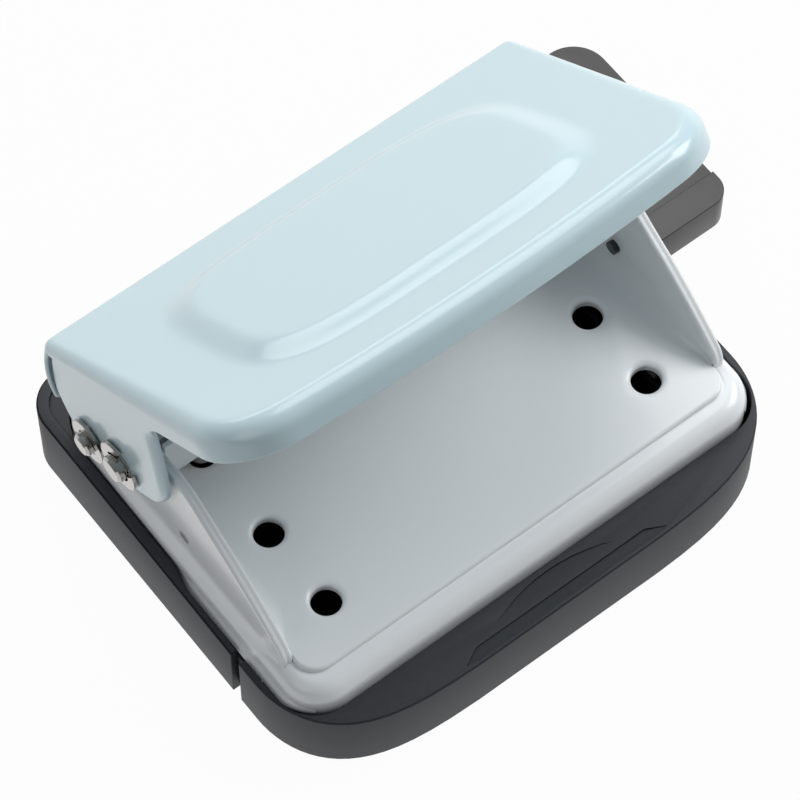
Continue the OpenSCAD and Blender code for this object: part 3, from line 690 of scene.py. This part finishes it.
# %% The pressed bed
def pressed_bed():
    work = Patchwork()
    rings = bed_rings()
    work.band(rings, closed=True)
    openings = []
    for x in HOLE_XS:
        for y in HOLE_YS:
            rows = hole_rings(x, y)
            work.band(rows, closed=True)
            openings.append(rows[0])
    openings += [circle(x, y, CUP_R, BED, CUP_POINTS) for x, y in CUP_XY]
    flat_with_openings(work, rings[0], openings)
    return thicken(work.piece("body_sheet", (0, 0, 1)), BODY_SHEET)


body_sheet = pressed_bed()
print("bed faces:", len(body_sheet.data.polygons))

# %% [markdown]
# ## The ears
#
# Two ears stand up from the bed and carry the shafts. Their sheet is folded double, so the
# edge is two small rounds with a shallow dish between them. A bevel would make one plain
# round, so here a profile follows the outline point by point. The slot in which the drive
# shaft travels is then cut through. Hollow fillets lead the bed and the body's rolled edge
# into each ear, and beside it a thin ledge shows where the body's wall turns out at its foot.

# %% Outline and edge of an ear
EAR_IN, EAR_OUT = 52.6, 55.0
EAR_ROUND = 0.62
EAR_DISH = 0.12
EAR_GAP = 0.8
EAR_FRONT, EAR_REAR, REAR_R = -46.4, 23.1, 12.2
FOOT_DEEP = 3.4


def ear_line():
    """Outline of an ear as (y, height above the bed), from its front foot over the top."""
    nose = bend((-46.9, -1.0), (-47.3, 2.2), (-44.6, 4.6), 8)
    rise = bend((-44.6, 4.6), (-38.2, 10.6), (-29.0, 17.0), 8)
    slope = bend((-29.0, 17.0), (-24.0, 20.0), (-20.0, 22.7), 5)[1:]
    crest = bend((-20.0, 22.7), (-15.6, 25.9), (-9.0, 25.3), 8)[1:]
    over = bend((-9.0, 25.3), (-2.0, 24.9), (6.0, 23.0), 8)[1:]
    rear = arc(PIVOT_Y, 10.0, REAR_R, 100, 0, 18)
    return resample(nose + rise + slope + crest + over + rear + [(EAR_REAR, -FOOT_DEEP)], EAR_GAP)


def ear_edge():
    """Profile over the edge as (x, sink): a round, a shallow dish, and a round again."""
    near = [(EAR_IN + EAR_ROUND - EAR_ROUND * cos(a), EAR_ROUND - EAR_ROUND * sin(a))
            for a in turns(0, 90, 5)]
    far = [(EAR_IN + EAR_OUT - x, sink) for x, sink in reversed(near)]
    start, width = near[-1][0], far[0][0] - near[-1][0]
    dish = [(start + width * i / 6, EAR_DISH * sin(pi * i / 6) ** 2)
            for i in range(1, 6)]
    flat = EAR_ROUND + 0.6
    return [(EAR_IN, flat)] + near + dish + far + [(EAR_OUT, flat)]


print("points of an ear:", len(ear_line()), "and of its edge:", len(ear_edge()))


# %% Ears and their slots
DRIVE_ARM, SLOT_HALF = 12.2, 3.3
DRIVE_HIGH, DRIVE_LOW = 151.0, 189.9


def closed_ear(side):
    """An ear as a closed shell: the edge, two faces, and strips under the nose and the foot."""
    work = Patchwork()
    marks = outward(ear_line())
    rows = [[(side * x, y - ny * sink, BED + z - nz * sink) for y, z, ny, nz in marks]
            for x, sink in ear_edge()]
    work.band(rows)
    foot = [(EAR_FRONT, -FOOT_DEEP), (EAR_REAR, -FOOT_DEEP)]
    for row in (rows[0], rows[-1]):
        work.plate(row + [(row[0][0], y, BED + z) for y, z in reversed(foot)])
    first = [row[0] for row in rows]
    last = [row[-1] for row in rows]
    low = [(p[0], EAR_FRONT, BED - FOOT_DEEP) for p in first]
    work.band([first, low])
    work.band([low, last])
    return work.piece(f"ear_{'right' if side > 0 else 'left'}", (side, 0, 0))


def slot_cutter(side):
    """A prism with the outline of the slot in which the drive shaft travels."""
    low, high = ((PIVOT_Y + DRIVE_ARM * cos(a), PIVOT_Z + DRIVE_ARM * sin(a))
                 for a in (radians(DRIVE_LOW), radians(DRIVE_HIGH)))
    outline = arc(PIVOT_Y, PIVOT_Z, DRIVE_ARM + SLOT_HALF, DRIVE_HIGH, DRIVE_LOW, 16)
    outline += arc(*low, SLOT_HALF, DRIVE_LOW + 12, DRIVE_LOW + 168, 10)
    outline += arc(PIVOT_Y, PIVOT_Z, DRIVE_ARM - SLOT_HALF, DRIVE_LOW, DRIVE_HIGH, 16)
    outline += arc(*high, SLOT_HALF, DRIVE_HIGH + 192, DRIVE_HIGH + 348, 10)
    work = Patchwork()
    near = [(side * (EAR_IN - 2), y, z) for y, z in outline]
    far = [(side * (EAR_OUT + 2), y, z) for y, z in outline]
    work.prism(near, far)
    return work.piece("slot_cutter", (1, 0, 0))


def bored_ear(side):
    ear = closed_ear(side)
    cutter = slot_cutter(side)
    cut = ear.modifiers.new("slot", "BOOLEAN")
    cut.operation, cut.solver, cut.object = "DIFFERENCE", "EXACT", cutter
    settle(ear)
    bpy.data.objects.remove(cutter)
    return ear


print("the slot spans", round(DRIVE_LOW - DRIVE_HIGH, 1), "degrees")


# %% Fillets beside the ears
FILLET, FILLET_THIN = 5.0, 0.6
FILLET_FRONT, FILLET_REAR, FILLET_FADE = -46.2, 23.0, 11
OUTER_FRONT, OUTER_REAR, OUTER_FADE = -45.9, 22.0, 7
OUTER_SINK = 0.97
STRIP_STEPS = 60
TUCK = 0.02


def ear_fillet(side):
    """A hollow strip from the bed up the inside of an ear, which fades out towards the nose."""
    rows = []
    for y in spread(FILLET_FRONT, FILLET_REAR, STRIP_STEPS):
        grown = smooth((y - FILLET_FRONT) / FILLET_FADE)
        size = FILLET_THIN + (FILLET - FILLET_THIN) * grown
        rows.append([(side * (EAR_IN + TUCK - size + size * cos(a)), y,
                      BED - TUCK + size + size * sin(a)) for a in turns(-90, 0, 10)])
    return strip(f"fillet_{side}", rows, (-side, 0, 1))


def outer_fillet(side):
    """A small hollow strip that leads the ear's outer face into the body's rolled edge."""
    rows = []
    for y in spread(OUTER_FRONT, OUTER_REAR, STRIP_STEPS):
        fade = min(smooth((y - OUTER_FRONT) / OUTER_FADE), smooth((OUTER_REAR - y) / OUTER_FADE))
        turn = asin((EAR_OUT + 0.1 + 1.2 * fade - BAND_HALF) / FOLD)
        x, z = BAND_HALF + FOLD * sin(turn), -OUTER_SINK - FOLD * (1 - cos(turn))
        meet = z + (x - EAR_OUT) * tan(turn)
        face = EAR_OUT - TUCK
        row = bend((face, meet + 0.3 + 3.2 * fade), (face, meet), (x, z), 12)
        rows.append([(side * x, y, BED + z) for x, z in row])
    return strip(f"outer_fillet_{side}", rows, (side, 0, 1))


print("fillet radius:", FILLET, "steps along it:", STRIP_STEPS)


# %% Ledge at the body's foot
LEDGE_TOP, LEDGE_DROP, LEDGE_POWER = 17.5, 1.1, 1.5
LEDGE_HALF, LEDGE_THIN, LEDGE_WIDE = 56.75, 0.2, 1.1
LEDGE_START, LEDGE_RUN = -13.5, 7
CORNER_X, CORNER_Y, CORNER_R = 47.8, -48.8, 8.95
ROUND_STEPS = 8


def foot_ledge(side):
    """The body's wall turns outwards at its foot, which shows as a pale strip inside the rim."""
    path = [(LEDGE_HALF, y, 1.0, 0.0) for y in range(-13, -48, -1)]
    straight = len(path)
    for a in turns(0, -6 * ROUND_STEPS, ROUND_STEPS):
        path.append((CORNER_X + CORNER_R * cos(a), CORNER_Y + CORNER_R * sin(a),
                     cos(a), sin(a)))
    rows = []
    for k, (x, y, nx, ny) in enumerate(path):
        start = smooth((LEDGE_START - y) / LEDGE_RUN)
        end = 1 - smooth((k - straight) / ROUND_STEPS) * 0.9
        wide = LEDGE_THIN + LEDGE_WIDE * min(start, end)
        rows.append([(side * (x + nx * wide * t), y + ny * wide * t,
                      LEDGE_TOP - LEDGE_DROP * t ** LEDGE_POWER)
                     for t in (0.0, 0.25, 0.5, 0.75, 1.0)])
    return strip(f"ledge_{side}", rows, (side, 0, 1))


print("the ledge is up to", LEDGE_THIN + LEDGE_WIDE, "wide")


# %% The whole body
def join(name, parts):
    """Makes one object of pieces that share the scene's frame."""
    made = bmesh.new()
    for part in parts:
        made.from_mesh(part.data)
    mesh = bpy.data.meshes.new(name)
    made.to_mesh(mesh)
    made.free()
    for part in parts:
        bpy.data.objects.remove(part)
    return dressed(name, mesh)


body_parts = [body_sheet]
for side in (1, -1):
    body_parts += [bored_ear(side), ear_fillet(side), outer_fillet(side), foot_ledge(side)]
body_shell = join("body_shell", body_parts)
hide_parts("body")
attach(body_shell, "frame")
print("body faces:", len(body_shell.data.polygons))

# %% [markdown]
# ## Mouldings and small pressings
#
# The base, the chip drawer, the paper guide and the press bar are plain shapes, and what
# they lack is only the rounding of their edges. So each takes a copy of its drawn mesh, the
# flat faces are merged again, and a bevel rounds each edge by its own weight: much on the
# rim that the hand meets, little elsewhere. The bevel modifier clamps all its widths to the
# smallest edge of the mesh, so the rim's outer edge is rounded on its own, before it. On the
# base, the drawer and the guide the rounded edges take a darker finish than the faces, which
# paints a line of shade along each edge.

# %% The outer edge of the rim
RIM_ROUND = 0.5
RIM_LOW = 16.8
SIDE_FLAT, REAR_FLAT = 59.6, 34.6
FRONT_Y, FRONT_HALF, FRONT_DEEP, FRONT_POWER, FRONT_NEAR = -44, 59.9, 23.4, 5.2, 0.98
REAR_X, REAR_Y, REAR_NEAR = 51.4, 26.4, 8.3


def on_rim(p):
    """Whether a point lies on the outer border of the base and the drawer, seen from above."""
    x, y = abs(p.x), p.y
    if y < FRONT_Y:
        return (x / FRONT_HALF) ** FRONT_POWER + ((FRONT_Y - y) / FRONT_DEEP) ** 2 > FRONT_NEAR
    if y > REAR_Y and x > REAR_X:
        return hypot(x - REAR_X, y - REAR_Y) > REAR_NEAR
    return x > SIDE_FLAT or y > REAR_FLAT


def round_rim(made):
    """Rounds the rim's outer top edge, which is long and plain enough to need no clamp."""
    rim = []
    for edge in made.edges:
        a, b = (v.co / MM for v in edge.verts)
        turned = len(edge.link_faces) == 2 and edge.calc_face_angle(0) > radians(60)
        if turned and min(a.z, b.z) > RIM_LOW and on_rim(a) and on_rim(b):
            rim.append(edge)
    # material 1 takes the near-black edge finish, a painted line of shade along the rim's outer
    # edge
    bmesh.ops.bevel(made, geom=rim, offset=RIM_ROUND * MM, offset_type="OFFSET", segments=3,
                    profile=0.5, affect="EDGES", clamp_overlap=False, material=1)
    print("rim edges:", len(rim))


# %% Rounded copies of the drawn pieces
BEVEL_FROM = 28


def rounded_copy(name, node, width, shares, rimmed=False):
    """shares is a height, and the share of the width that edges above and below it get."""
    height, above, below = shares
    mesh = nodes[node].data.copy()
    mesh.name = name
    made = bmesh.new()
    made.from_mesh(mesh)
    bmesh.ops.remove_doubles(made, verts=made.verts, dist=0.01 * MM)
    bmesh.ops.dissolve_limit(made, angle_limit=radians(0.6), verts=made.verts,
                             edges=made.edges)
    if rimmed:
        round_rim(made)
    layer = made.edges.layers.float.new("bevel_weight_edge")
    for edge in made.edges:
        if len(edge.link_faces) == 2 and degrees(edge.calc_face_angle(0)) > BEVEL_FROM:
            low = min((v.co / MM).z for v in edge.verts)
            edge[layer] = above if low > height else below
    made.to_mesh(mesh)
    made.free()
    mesh.materials.clear()
    for _ in ("faces", "rounded edges"):
        mesh.materials.append(None)
    piece = placed(name, mesh)
    rounding = piece.modifiers.new("rounding", "BEVEL")
    rounding.width = width * MM
    rounding.segments = 4
    rounding.limit_method = "WEIGHT"
    rounding.use_clamp_overlap = True
    rounding.miter_outer = "MITER_ARC"
    # slot 1 holds the rounded edges; on the base, the drawer and the guide its darker finish paints
    # shade along them
    rounding.material = 1
    return settle(piece)


print("edges are rounded over", BEVEL_FROM, "degrees")

# %% The base, the drawer, the guide and the press bar
BASE_SHARES = (RIM_LOW, 0.6, 0.35)
GUIDE_SHARES = (9, 1.0, 0.4)
BAR_SHARES = (0, 0.9, 0.9)
base_shell = rounded_copy("base_moulding", "base_shell", 0.6, BASE_SHARES, rimmed=True)
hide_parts("base_shell")
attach(base_shell, "frame")

chip_drawer = rounded_copy("drawer_moulding", "chip_drawer", 0.6, BASE_SHARES, rimmed=True)
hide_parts("chip_drawer")
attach(chip_drawer, "chip_drawer")

paper_guide = rounded_copy("guide_moulding", "paper_guide", 0.7, GUIDE_SHARES)
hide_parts("paper_guide")
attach(paper_guide, "paper_guide")

press_bar = rounded_copy("press_channel", "press_bar", 0.45, BAR_SHARES)
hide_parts("press_bar")
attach(press_bar, "press_bar")
for made in (base_shell, chip_drawer, paper_guide, press_bar):
    print(made.name, "faces:", len(made.data.polygons))

# %% [markdown]
# ## Where the mouldings meet
#
# Small forms finish what would else be black gaps. A web fills each back corner of the base
# behind the body's round corner, and the drawer has a guide tongue at each side, which runs
# back inside the base and covers the parting line. Both are plain prisms on an outline. The
# stand-offs keep their drawn mesh, but their tops go down a little, because the pressed
# corner above them is rounder than the drawn one.

# %% Corner webs and drawer tongues
WEB_TOP, WEB_THICK = 19.15, 1.5
WEB_X, WEB_Y, WEB_R = 41.8, 16.8, 15.3
WEB_HALF, WEB_REAR, REAR_INSIDE = 57.5, 32.5, 6.1
TONGUE_LOW, TONGUE_HIGH = 3.0, 14.8
TONGUE_X, TONGUE_Y, TONGUE_R = 57.87, -34.4, 0.37


def both_sides(work, outline, low, high):
    """An upright prism on an outline, once at each side."""
    for side in (1, -1):
        bottom, top = ([(side * x, y, z) for x, y in outline] for z in (low, high))
        work.prism(bottom, top)


def corner_webs():
    """A flat web in each back corner, hollow towards the body and round towards the rim."""
    work = Patchwork()
    inside = arc(WEB_X, WEB_Y, WEB_R, 90, 0, 24)
    rear = arc(REAR_X, REAR_Y, REAR_INSIDE, 0, 90, 12)
    outline = inside + [(WEB_HALF, WEB_Y)] + rear + [(WEB_X, WEB_REAR)]
    both_sides(work, outline, WEB_TOP - WEB_THICK, WEB_TOP)
    return work.piece("corner_webs", (0, 0, 1))


def drawer_tongues():
    """A short tongue with a rounded rear end on each side of the drawer."""
    work = Patchwork()
    outline = [(57.5, -43.0), (58.6, -43.0), (58.6, -39.2), (58.25, -38.9), (58.25, TONGUE_Y)]
    outline += arc(TONGUE_X, TONGUE_Y, TONGUE_R, 0, 180, 8)[1:]
    both_sides(work, outline, TONGUE_LOW, TONGUE_HIGH)
    return work.piece("drawer_tongues", (0, 0, 1))


webs = corner_webs()
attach(webs, "frame")
tongues = drawer_tongues()
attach(tongues, "chip_drawer")
print("web and tongue faces:", len(webs.data.polygons), len(tongues.data.polygons))

# %% Stand-offs under the round corners
STAND_OFF_DOWN = 0.5


def lowered_stand_offs():
    """The drawn stand-offs with their tops moved down."""
    mesh = nodes["stand_offs"].data.copy()
    highest = max(v.co.z for v in mesh.vertices)
    for v in mesh.vertices:
        if v.co.z > highest - 0.1 * MM:
            v.co.z -= STAND_OFF_DOWN * MM
    return dressed("lowered_stand_offs", mesh)


stand_offs = lowered_stand_offs()
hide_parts("stand_offs")
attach(stand_offs, "frame")
print("stand-offs lowered by", STAND_OFF_DOWN)

# %% [markdown]
# ## Effects that finishes share
#
# Enamel on pressed steel is never quite flat: it has a faint ripple, and its gloss varies a
# little. Moulded plastic has a fine spark-eroded grain. Both come from one node group, built
# once, which gives out a colour, a roughness and a height, and each material sets its own
# amounts. Pictures could do it too, but noise needs no file and no unwrapping.

# %% Node helpers
def effect_group(name, inputs, outputs):
    group = bpy.data.node_groups.new(name, "ShaderNodeTree")
    for label, kind, value in inputs:
        socket = group.interface.new_socket(label, in_out="INPUT", socket_type=kind)
        socket.default_value = value
    for label, kind in outputs:
        group.interface.new_socket(label, in_out="OUTPUT", socket_type=kind)
    given = group.nodes.new("NodeGroupInput").outputs
    return group, given, group.nodes.new("NodeGroupOutput")


def feed(tree, socket, value):
    """Gives a socket a plain value, or links it to the socket that the value comes from."""
    if isinstance(value, bpy.types.NodeSocket):
        tree.links.new(value, socket)
    elif value is not None:
        socket.default_value = value


def fill(tree, node, **values):
    """Feeds the inputs of a node by name."""
    for label, value in values.items():
        feed(tree, node.inputs[label.replace("_", " ")], value)
    return node


def make(tree, kind, **values):
    """A new shader node with its inputs fed."""
    return fill(tree, tree.nodes.new("ShaderNode" + kind), **values)


def noise(tree, coords, scale, detail):
    return make(tree, "TexNoise", Vector=coords, Scale=scale, Detail=detail).outputs["Fac"]


def maths(tree, kind, a, b=None, c=None):
    found = make(tree, "Math")
    found.operation = kind
    for socket, value in zip(found.inputs, (a, b, c)):
        feed(tree, socket, value)
    return found.outputs[0]


def between(tree, share, first, second):
    """A colour between two others."""
    mix = make(tree, "Mix")
    mix.data_type = "RGBA"
    for k, value in ((0, share), (6, first), (7, second)):
        feed(tree, mix.inputs[k], value)
    return mix.outputs[2]


def blend(tree, share, first, second, end):
    """Mixes two shaders and feeds the output node with them."""
    mix = make(tree, "MixShader")
    for k, value in enumerate((share, first, second)):
        feed(tree, mix.inputs[k], value)
    feed(tree, tree.nodes[end].inputs["Surface"], mix.outputs[0])


print("node helpers:", [h.__name__ for h in (feed, fill, make, noise, maths, between, blend)])

# %% Surface variation group
def surface_group():
    amount, colour = "NodeSocketFloat", "NodeSocketColor"
    group, given, out = effect_group(
        "surface_variation",
        [("Colour", colour, (0.5, 0.5, 0.5, 1)), ("Deep colour", colour, (0.4, 0.4, 0.4, 1)),
         ("Patch scale", amount, 30.0), ("Grain scale", amount, 900.0), ("Ripple", amount, 0.3),
         ("Roughness", amount, 0.3), ("Roughness change", amount, 0.05)],
        [("Colour", colour), ("Roughness", amount), ("Height", amount)])
    place = make(group, "TexCoord").outputs["Object"]
    patch = noise(group, place, given["Patch scale"], 3.0)
    grain = noise(group, place, given["Grain scale"], 2.0)
    mixed = between(group, patch, given["Deep colour"], given["Colour"])
    off_middle = maths(group, "SUBTRACT", patch, 0.5)
    shift = maths(group, "MULTIPLY", off_middle, given["Roughness change"])
    rough = maths(group, "ADD", given["Roughness"], shift)
    ripple = maths(group, "MULTIPLY", patch, given["Ripple"])
    fill(group, out, Colour=mixed, Roughness=rough, Height=maths(group, "ADD", ripple, grain))
    return group


SURFACE = surface_group()
print("group outputs:", [s.name for s in SURFACE.interface.items_tree if s.in_out == "OUTPUT"])

# %% [markdown]
# ## Finishes
#
# The lever and the body are enamelled, the base and the guide come out of a grained mould,
# and the small parts are plated or left as drawn. Each finish places the group, sets its
# amounts, and keeps what is the same all over, such as metal or clear coat, on the shader's
# own sockets.

# %% Finish builder
RELIEF = 0.2 * MM


def finish(name, colour, deep, roughness, change, patch, grain, bump, ripple=0.3, **shader):
    """A material whose colour, roughness and relief vary by the group's patches and grain."""
    made = bpy.data.materials.new(name)
    made.use_nodes = True
    tree = made.node_tree
    group = make(tree, "Group")
    group.node_tree = SURFACE
    fill(tree, group, Colour=(*colour, 1), Deep_colour=(*deep, 1), Patch_scale=patch,
         Grain_scale=grain, Ripple=ripple, Roughness=roughness, Roughness_change=change)
    varied = group.outputs
    relief = make(tree, "Bump", Strength=bump, Distance=RELIEF, Height=varied["Height"])
    fill(tree, tree.nodes["Principled BSDF"], Base_Color=varied["Colour"],
         Roughness=varied["Roughness"], Normal=relief.outputs["Normal"], **shader)
    return made


print("relief of a finish:", RELIEF / MM, "mm at most")

# %% Enamels and mouldings
WHITE = (0.862, 0.890, 0.905)
lever_enamel = finish("light_blue_enamel", (0.535, 0.690, 0.735), (0.520, 0.675, 0.720),
                      0.30, 0.04, 14, 420, 0.05, ripple=0.9, Coat_Weight=0.55, Coat_Roughness=0.08)
body_enamel = finish("white_enamel", WHITE, (0.845, 0.875, 0.892),
                     0.26, 0.04, 14, 420, 0.05, ripple=0.9, Coat_Weight=0.25, Coat_Roughness=0.08)
# painted shade: this near-black finish on the rounded edges of the base and the drawer paints a
# dark line of shade along the rim
painted_shade_rim_edge = finish("painted_shade_rim_edge", (0.010, 0.011, 0.013), (0.007, 0.008, 0.010),
                      0.5, 0.05, 40, 1500, 0.1, Specular_IOR_Level=0.12)
base_grain = finish("dark_grey_moulding", (0.039, 0.043, 0.049), (0.032, 0.035, 0.041),
                    0.52, 0.06, 40, 2600, 0.25, Specular_IOR_Level=0.32)
guide_grain = finish("brown_grey_moulding", (0.086, 0.083, 0.082), (0.070, 0.068, 0.068),
                     0.33, 0.06, 40, 2600, 0.12, Specular_IOR_Level=0.3)
# painted shade: this near-black finish on the guide's rounded edges paints dark lines of shade
# along its edges and its step
painted_shade_guide_edge = finish("painted_shade_guide_edge", (0.014, 0.014, 0.016), (0.010, 0.010, 0.012),
                    0.4, 0.05, 40, 1500, 0.1, Specular_IOR_Level=0.2)
print("lever and body:", lever_enamel.name, "and", body_enamel.name)

# %% Metals, nylon and rubber
# partly painted shade: the studs' colour is dark steel made darker still for the shadow round them
stud_steel_and_painted_shade = finish("stud_steel_and_painted_shade", (0.03, 0.034, 0.036), (0.02, 0.023, 0.025),
                     0.3, 0.1, 260, 1500, 0.1)
nickel = finish("nickel_plate", (0.50, 0.485, 0.46), (0.36, 0.35, 0.33),
                0.15, 0.10, 260, 1500, 0.08, Metallic=1.0)
dark_steel = finish("hardened_steel", (0.36, 0.35, 0.34), (0.24, 0.24, 0.24),
                    0.34, 0.1, 260, 1500, 0.1, Metallic=1.0)
spring_steel = finish("drawn_wire", (0.55, 0.54, 0.53), (0.42, 0.42, 0.42),
                      0.3, 0.1, 400, 2400, 0.1, Metallic=1.0)
zinc_plate = finish("zinc_plate", (0.52, 0.53, 0.55), (0.42, 0.43, 0.45),
                    0.4, 0.14, 180, 1200, 0.1, Metallic=1.0)
nylon = finish("natural_nylon", (0.72, 0.70, 0.64), (0.66, 0.64, 0.58), 0.45, 0.05, 120, 1500, 0.1)
foot_rubber = finish("foot_rubber", (0.022, 0.022, 0.024), (0.016, 0.016, 0.018),
                     0.75, 0.08, 160, 1800, 0.4)
print("metals:", [m.name for m in (nickel, dark_steel, spring_steel, zinc_plate)])

# %% [markdown]
# ## Painted ends of the studs
#
# The body is enamelled with its studs in place, so the outer end of each one is as white as
# the ear round it, and only the inner end keeps the near-black colour, which is partly the
# steel's own and partly painted shade for the shadow the stud sits in. The two studs share one
# node, and its own coordinate across the machine is 0 and 1 on just those two outer ends.

# %% Enamel over the outer ends
ENDS_FROM = 0.498


def enamel_ends(material, enamel):
    """Paints what lies further from the node's middle than so many shares of its width."""
    tree = material.node_tree
    place = make(tree, "TexCoord").outputs["Generated"]
    across = make(tree, "SeparateXYZ", Vector=place).outputs["X"]
    off_middle = maths(tree, "ABSOLUTE", maths(tree, "SUBTRACT", across, 0.5))
    painted = maths(tree, "GREATER_THAN", off_middle, ENDS_FROM)
    base = tree.nodes["Principled BSDF"].inputs["Base Color"]
    steel = base.links[0].from_socket
    feed(tree, base, between(tree, painted, steel, (*enamel, 1)))


enamel_ends(stud_steel_and_painted_shade, WHITE)
print("studs: outer ends in the white of the body")

# %% Put the finishes on
def cover(target, *materials):
    """The first material covers the faces, and a second one the rounded edges of a moulding, where
    a darker finish paints a line of shade.
    """
    for k, material in enumerate(materials):
        if k < len(target.data.materials):
            target.data.materials[k] = material
        else:
            target.data.materials.append(material)


for piece, *materials in (
        (lever_shell, lever_enamel), (body_shell, body_enamel), (webs, base_grain),
        (tongues, base_grain), (press_bar, body_enamel, body_enamel),
        (base_shell, base_grain, painted_shade_rim_edge), (chip_drawer, base_grain, painted_shade_rim_edge),
        (paper_guide, guide_grain, painted_shade_guide_edge)):
    cover(piece, *materials)
carried = (
    (zinc_plate, "die_plate paper_stop spring_cups base_screws guide_strap"),
    (nickel, "guide_posts pivot_shaft drive_shaft pivot_clips drive_clips"),
    (spring_steel, "spring_left spring_right"), (dark_steel, "punches"),
    (nylon, "pivot_washers drive_washers"), (stud_steel_and_painted_shade, "ear_studs"),
    (foot_rubber, "rubber_sole"))
for material, names in carried:
    for name in names.split():
        cover(nodes[name], material)
cover(stand_offs, zinc_plate)
print("drawn pieces with a finish:", sum(len(names.split()) for _, names in carried))

# %% [markdown]
# ## The studio
#
# The punch stands on a plain white floor. Where the camera sees it directly, most of the
# floor's white comes from emission, so the background stays white and the shadow stays
# faint, while the floor still throws its light back on the punch. Four soft lamps stand
# round it, and the sky is a little brighter behind and on the right, which the enamel shows
# as a slow change from one end to the other. A plain even sky would leave it flat.

# %% Floor
FLOOR_R, FLOOR_POINTS, FLOOR_LOW = 3000, 24, -0.02
FLOOR_GREY, FLOOR_GLOW = 0.6, 0.965


def floor_sheet():
    work = Patchwork()
    rows = [circle(0, 0, FLOOR_R * part / 4, FLOOR_LOW, FLOOR_POINTS) for part in (0.2, 1, 2, 4)]
    work.band(rows, closed=True)
    work.plate(rows[0])
    return work.piece("floor_sheet", (0, 0, 1))


def floor_white():
    made = bpy.data.materials.new("floor_white")
    made.use_nodes = True
    tree = made.node_tree
    grey = (FLOOR_GREY, FLOOR_GREY, FLOOR_GREY, 1)
    plain = fill(tree, tree.nodes["Principled BSDF"], Base_Color=grey, Roughness=0.9)
    glow = make(tree, "Emission", Color=(1, 1, 1, 1))
    path = make(tree, "LightPath").outputs
    seen = maths(tree, "MAXIMUM", path["Is Camera Ray"], path["Is Glossy Ray"])
    seen = maths(tree, "MAXIMUM", seen, path["Is Transmission Ray"])
    share = maths(tree, "MULTIPLY", seen, FLOOR_GLOW)
    blend(tree, share, plain.outputs[0], glow.outputs[0], "Material Output")
    return made


floor = floor_sheet()
cover(floor, floor_white())
print("floor points:", len(floor.data.vertices))

# %% World
SKY, BEHIND, FROM_RIGHT = 0.28, 0.16, 0.04


def studio_world():
    """A pale sky, brighter behind and on the right, that the camera sees as plain white."""
    world = bpy.data.worlds.new("studio")
    bpy.context.scene.world = world
    world.use_nodes = True
    tree = world.node_tree
    sky = make(tree, "TexCoord").outputs["Generated"]
    parts = make(tree, "SeparateXYZ", Vector=sky).outputs
    lit = maths(tree, "MULTIPLY_ADD", parts["Y"], BEHIND, SKY)
    lit = maths(tree, "MULTIPLY_ADD", parts["X"], FROM_RIGHT, lit)
    lit = maths(tree, "MAXIMUM", lit, 0.0)
    back = fill(tree, tree.nodes["Background"], Color=(0.93, 0.96, 1.0, 1), Strength=lit)
    white = make(tree, "Background", Color=(1, 1, 1, 1), Strength=1.0)
    seen = make(tree, "LightPath").outputs["Is Camera Ray"]
    blend(tree, seen, back.outputs[0], white.outputs[0], "World Output")


studio_world()
print("sky strength:", SKY, "more behind:", BEHIND)


# %% Lamps
def softbox(name, place, aim, size, power):
    lamp = bpy.data.lights.new(name, "AREA")
    lamp.shape = "RECTANGLE"
    lamp.size, lamp.size_y = size
    lamp.energy = power
    made = placed(name, lamp)
    made.location = place
    made.rotation_mode = "QUATERNION"
    made.rotation_quaternion = (Vector(aim) - Vector(place)).to_track_quat("-Z", "Y")


softbox("key_softbox", (0.32, 0.42, 0.98), (0, 0, 0.04), (0.8, 0.7), 4.8)
softbox("back_softbox", (0.36, 1.1, 0.42), (0, 0, 0.06), (1.0, 0.40), 2.9)
softbox("right_softbox", (0.84, -0.22, 0.74), (0, 0, 0.03), (0.6, 0.6), 7.0)
softbox("left_softbox", (-0.85, -0.2, 0.6), (0, 0, 0.03), (0.6, 0.5), 1.0)

# %% [markdown]
# ## The camera
#
# The photograph looks down from the front left through a long lens, a little under a metre
# away. The angles and the lens were found by matching the holes, the base and the lever.

# %% Camera
AZIMUTH, ELEVATION = radians(-37.6), radians(61.56)
CAMERA_AT = (-0.24138, -0.32566, 0.7494)
LENS, SENSOR = 186.75, 36.0


def studio_camera():
    camera = bpy.data.cameras.new("camera")
    camera.lens = LENS
    camera.sensor_width = SENSOR
    camera.clip_start, camera.clip_end = 0.05, 20
    made = placed("camera", camera)
    back = Vector((sin(AZIMUTH) * cos(ELEVATION),
                   -cos(AZIMUTH) * cos(ELEVATION), sin(ELEVATION)))
    right = Vector((cos(AZIMUTH), sin(AZIMUTH), 0))
    turn = Matrix((right, back.cross(right), back)).transposed().to_4x4()
    made.matrix_world = Matrix.Translation(CAMERA_AT) @ turn
    bpy.context.scene.camera = made


studio_camera()
bpy.context.scene.view_settings.view_transform = "Standard"
print("camera at", CAMERA_AT, "with a lens of", LENS)
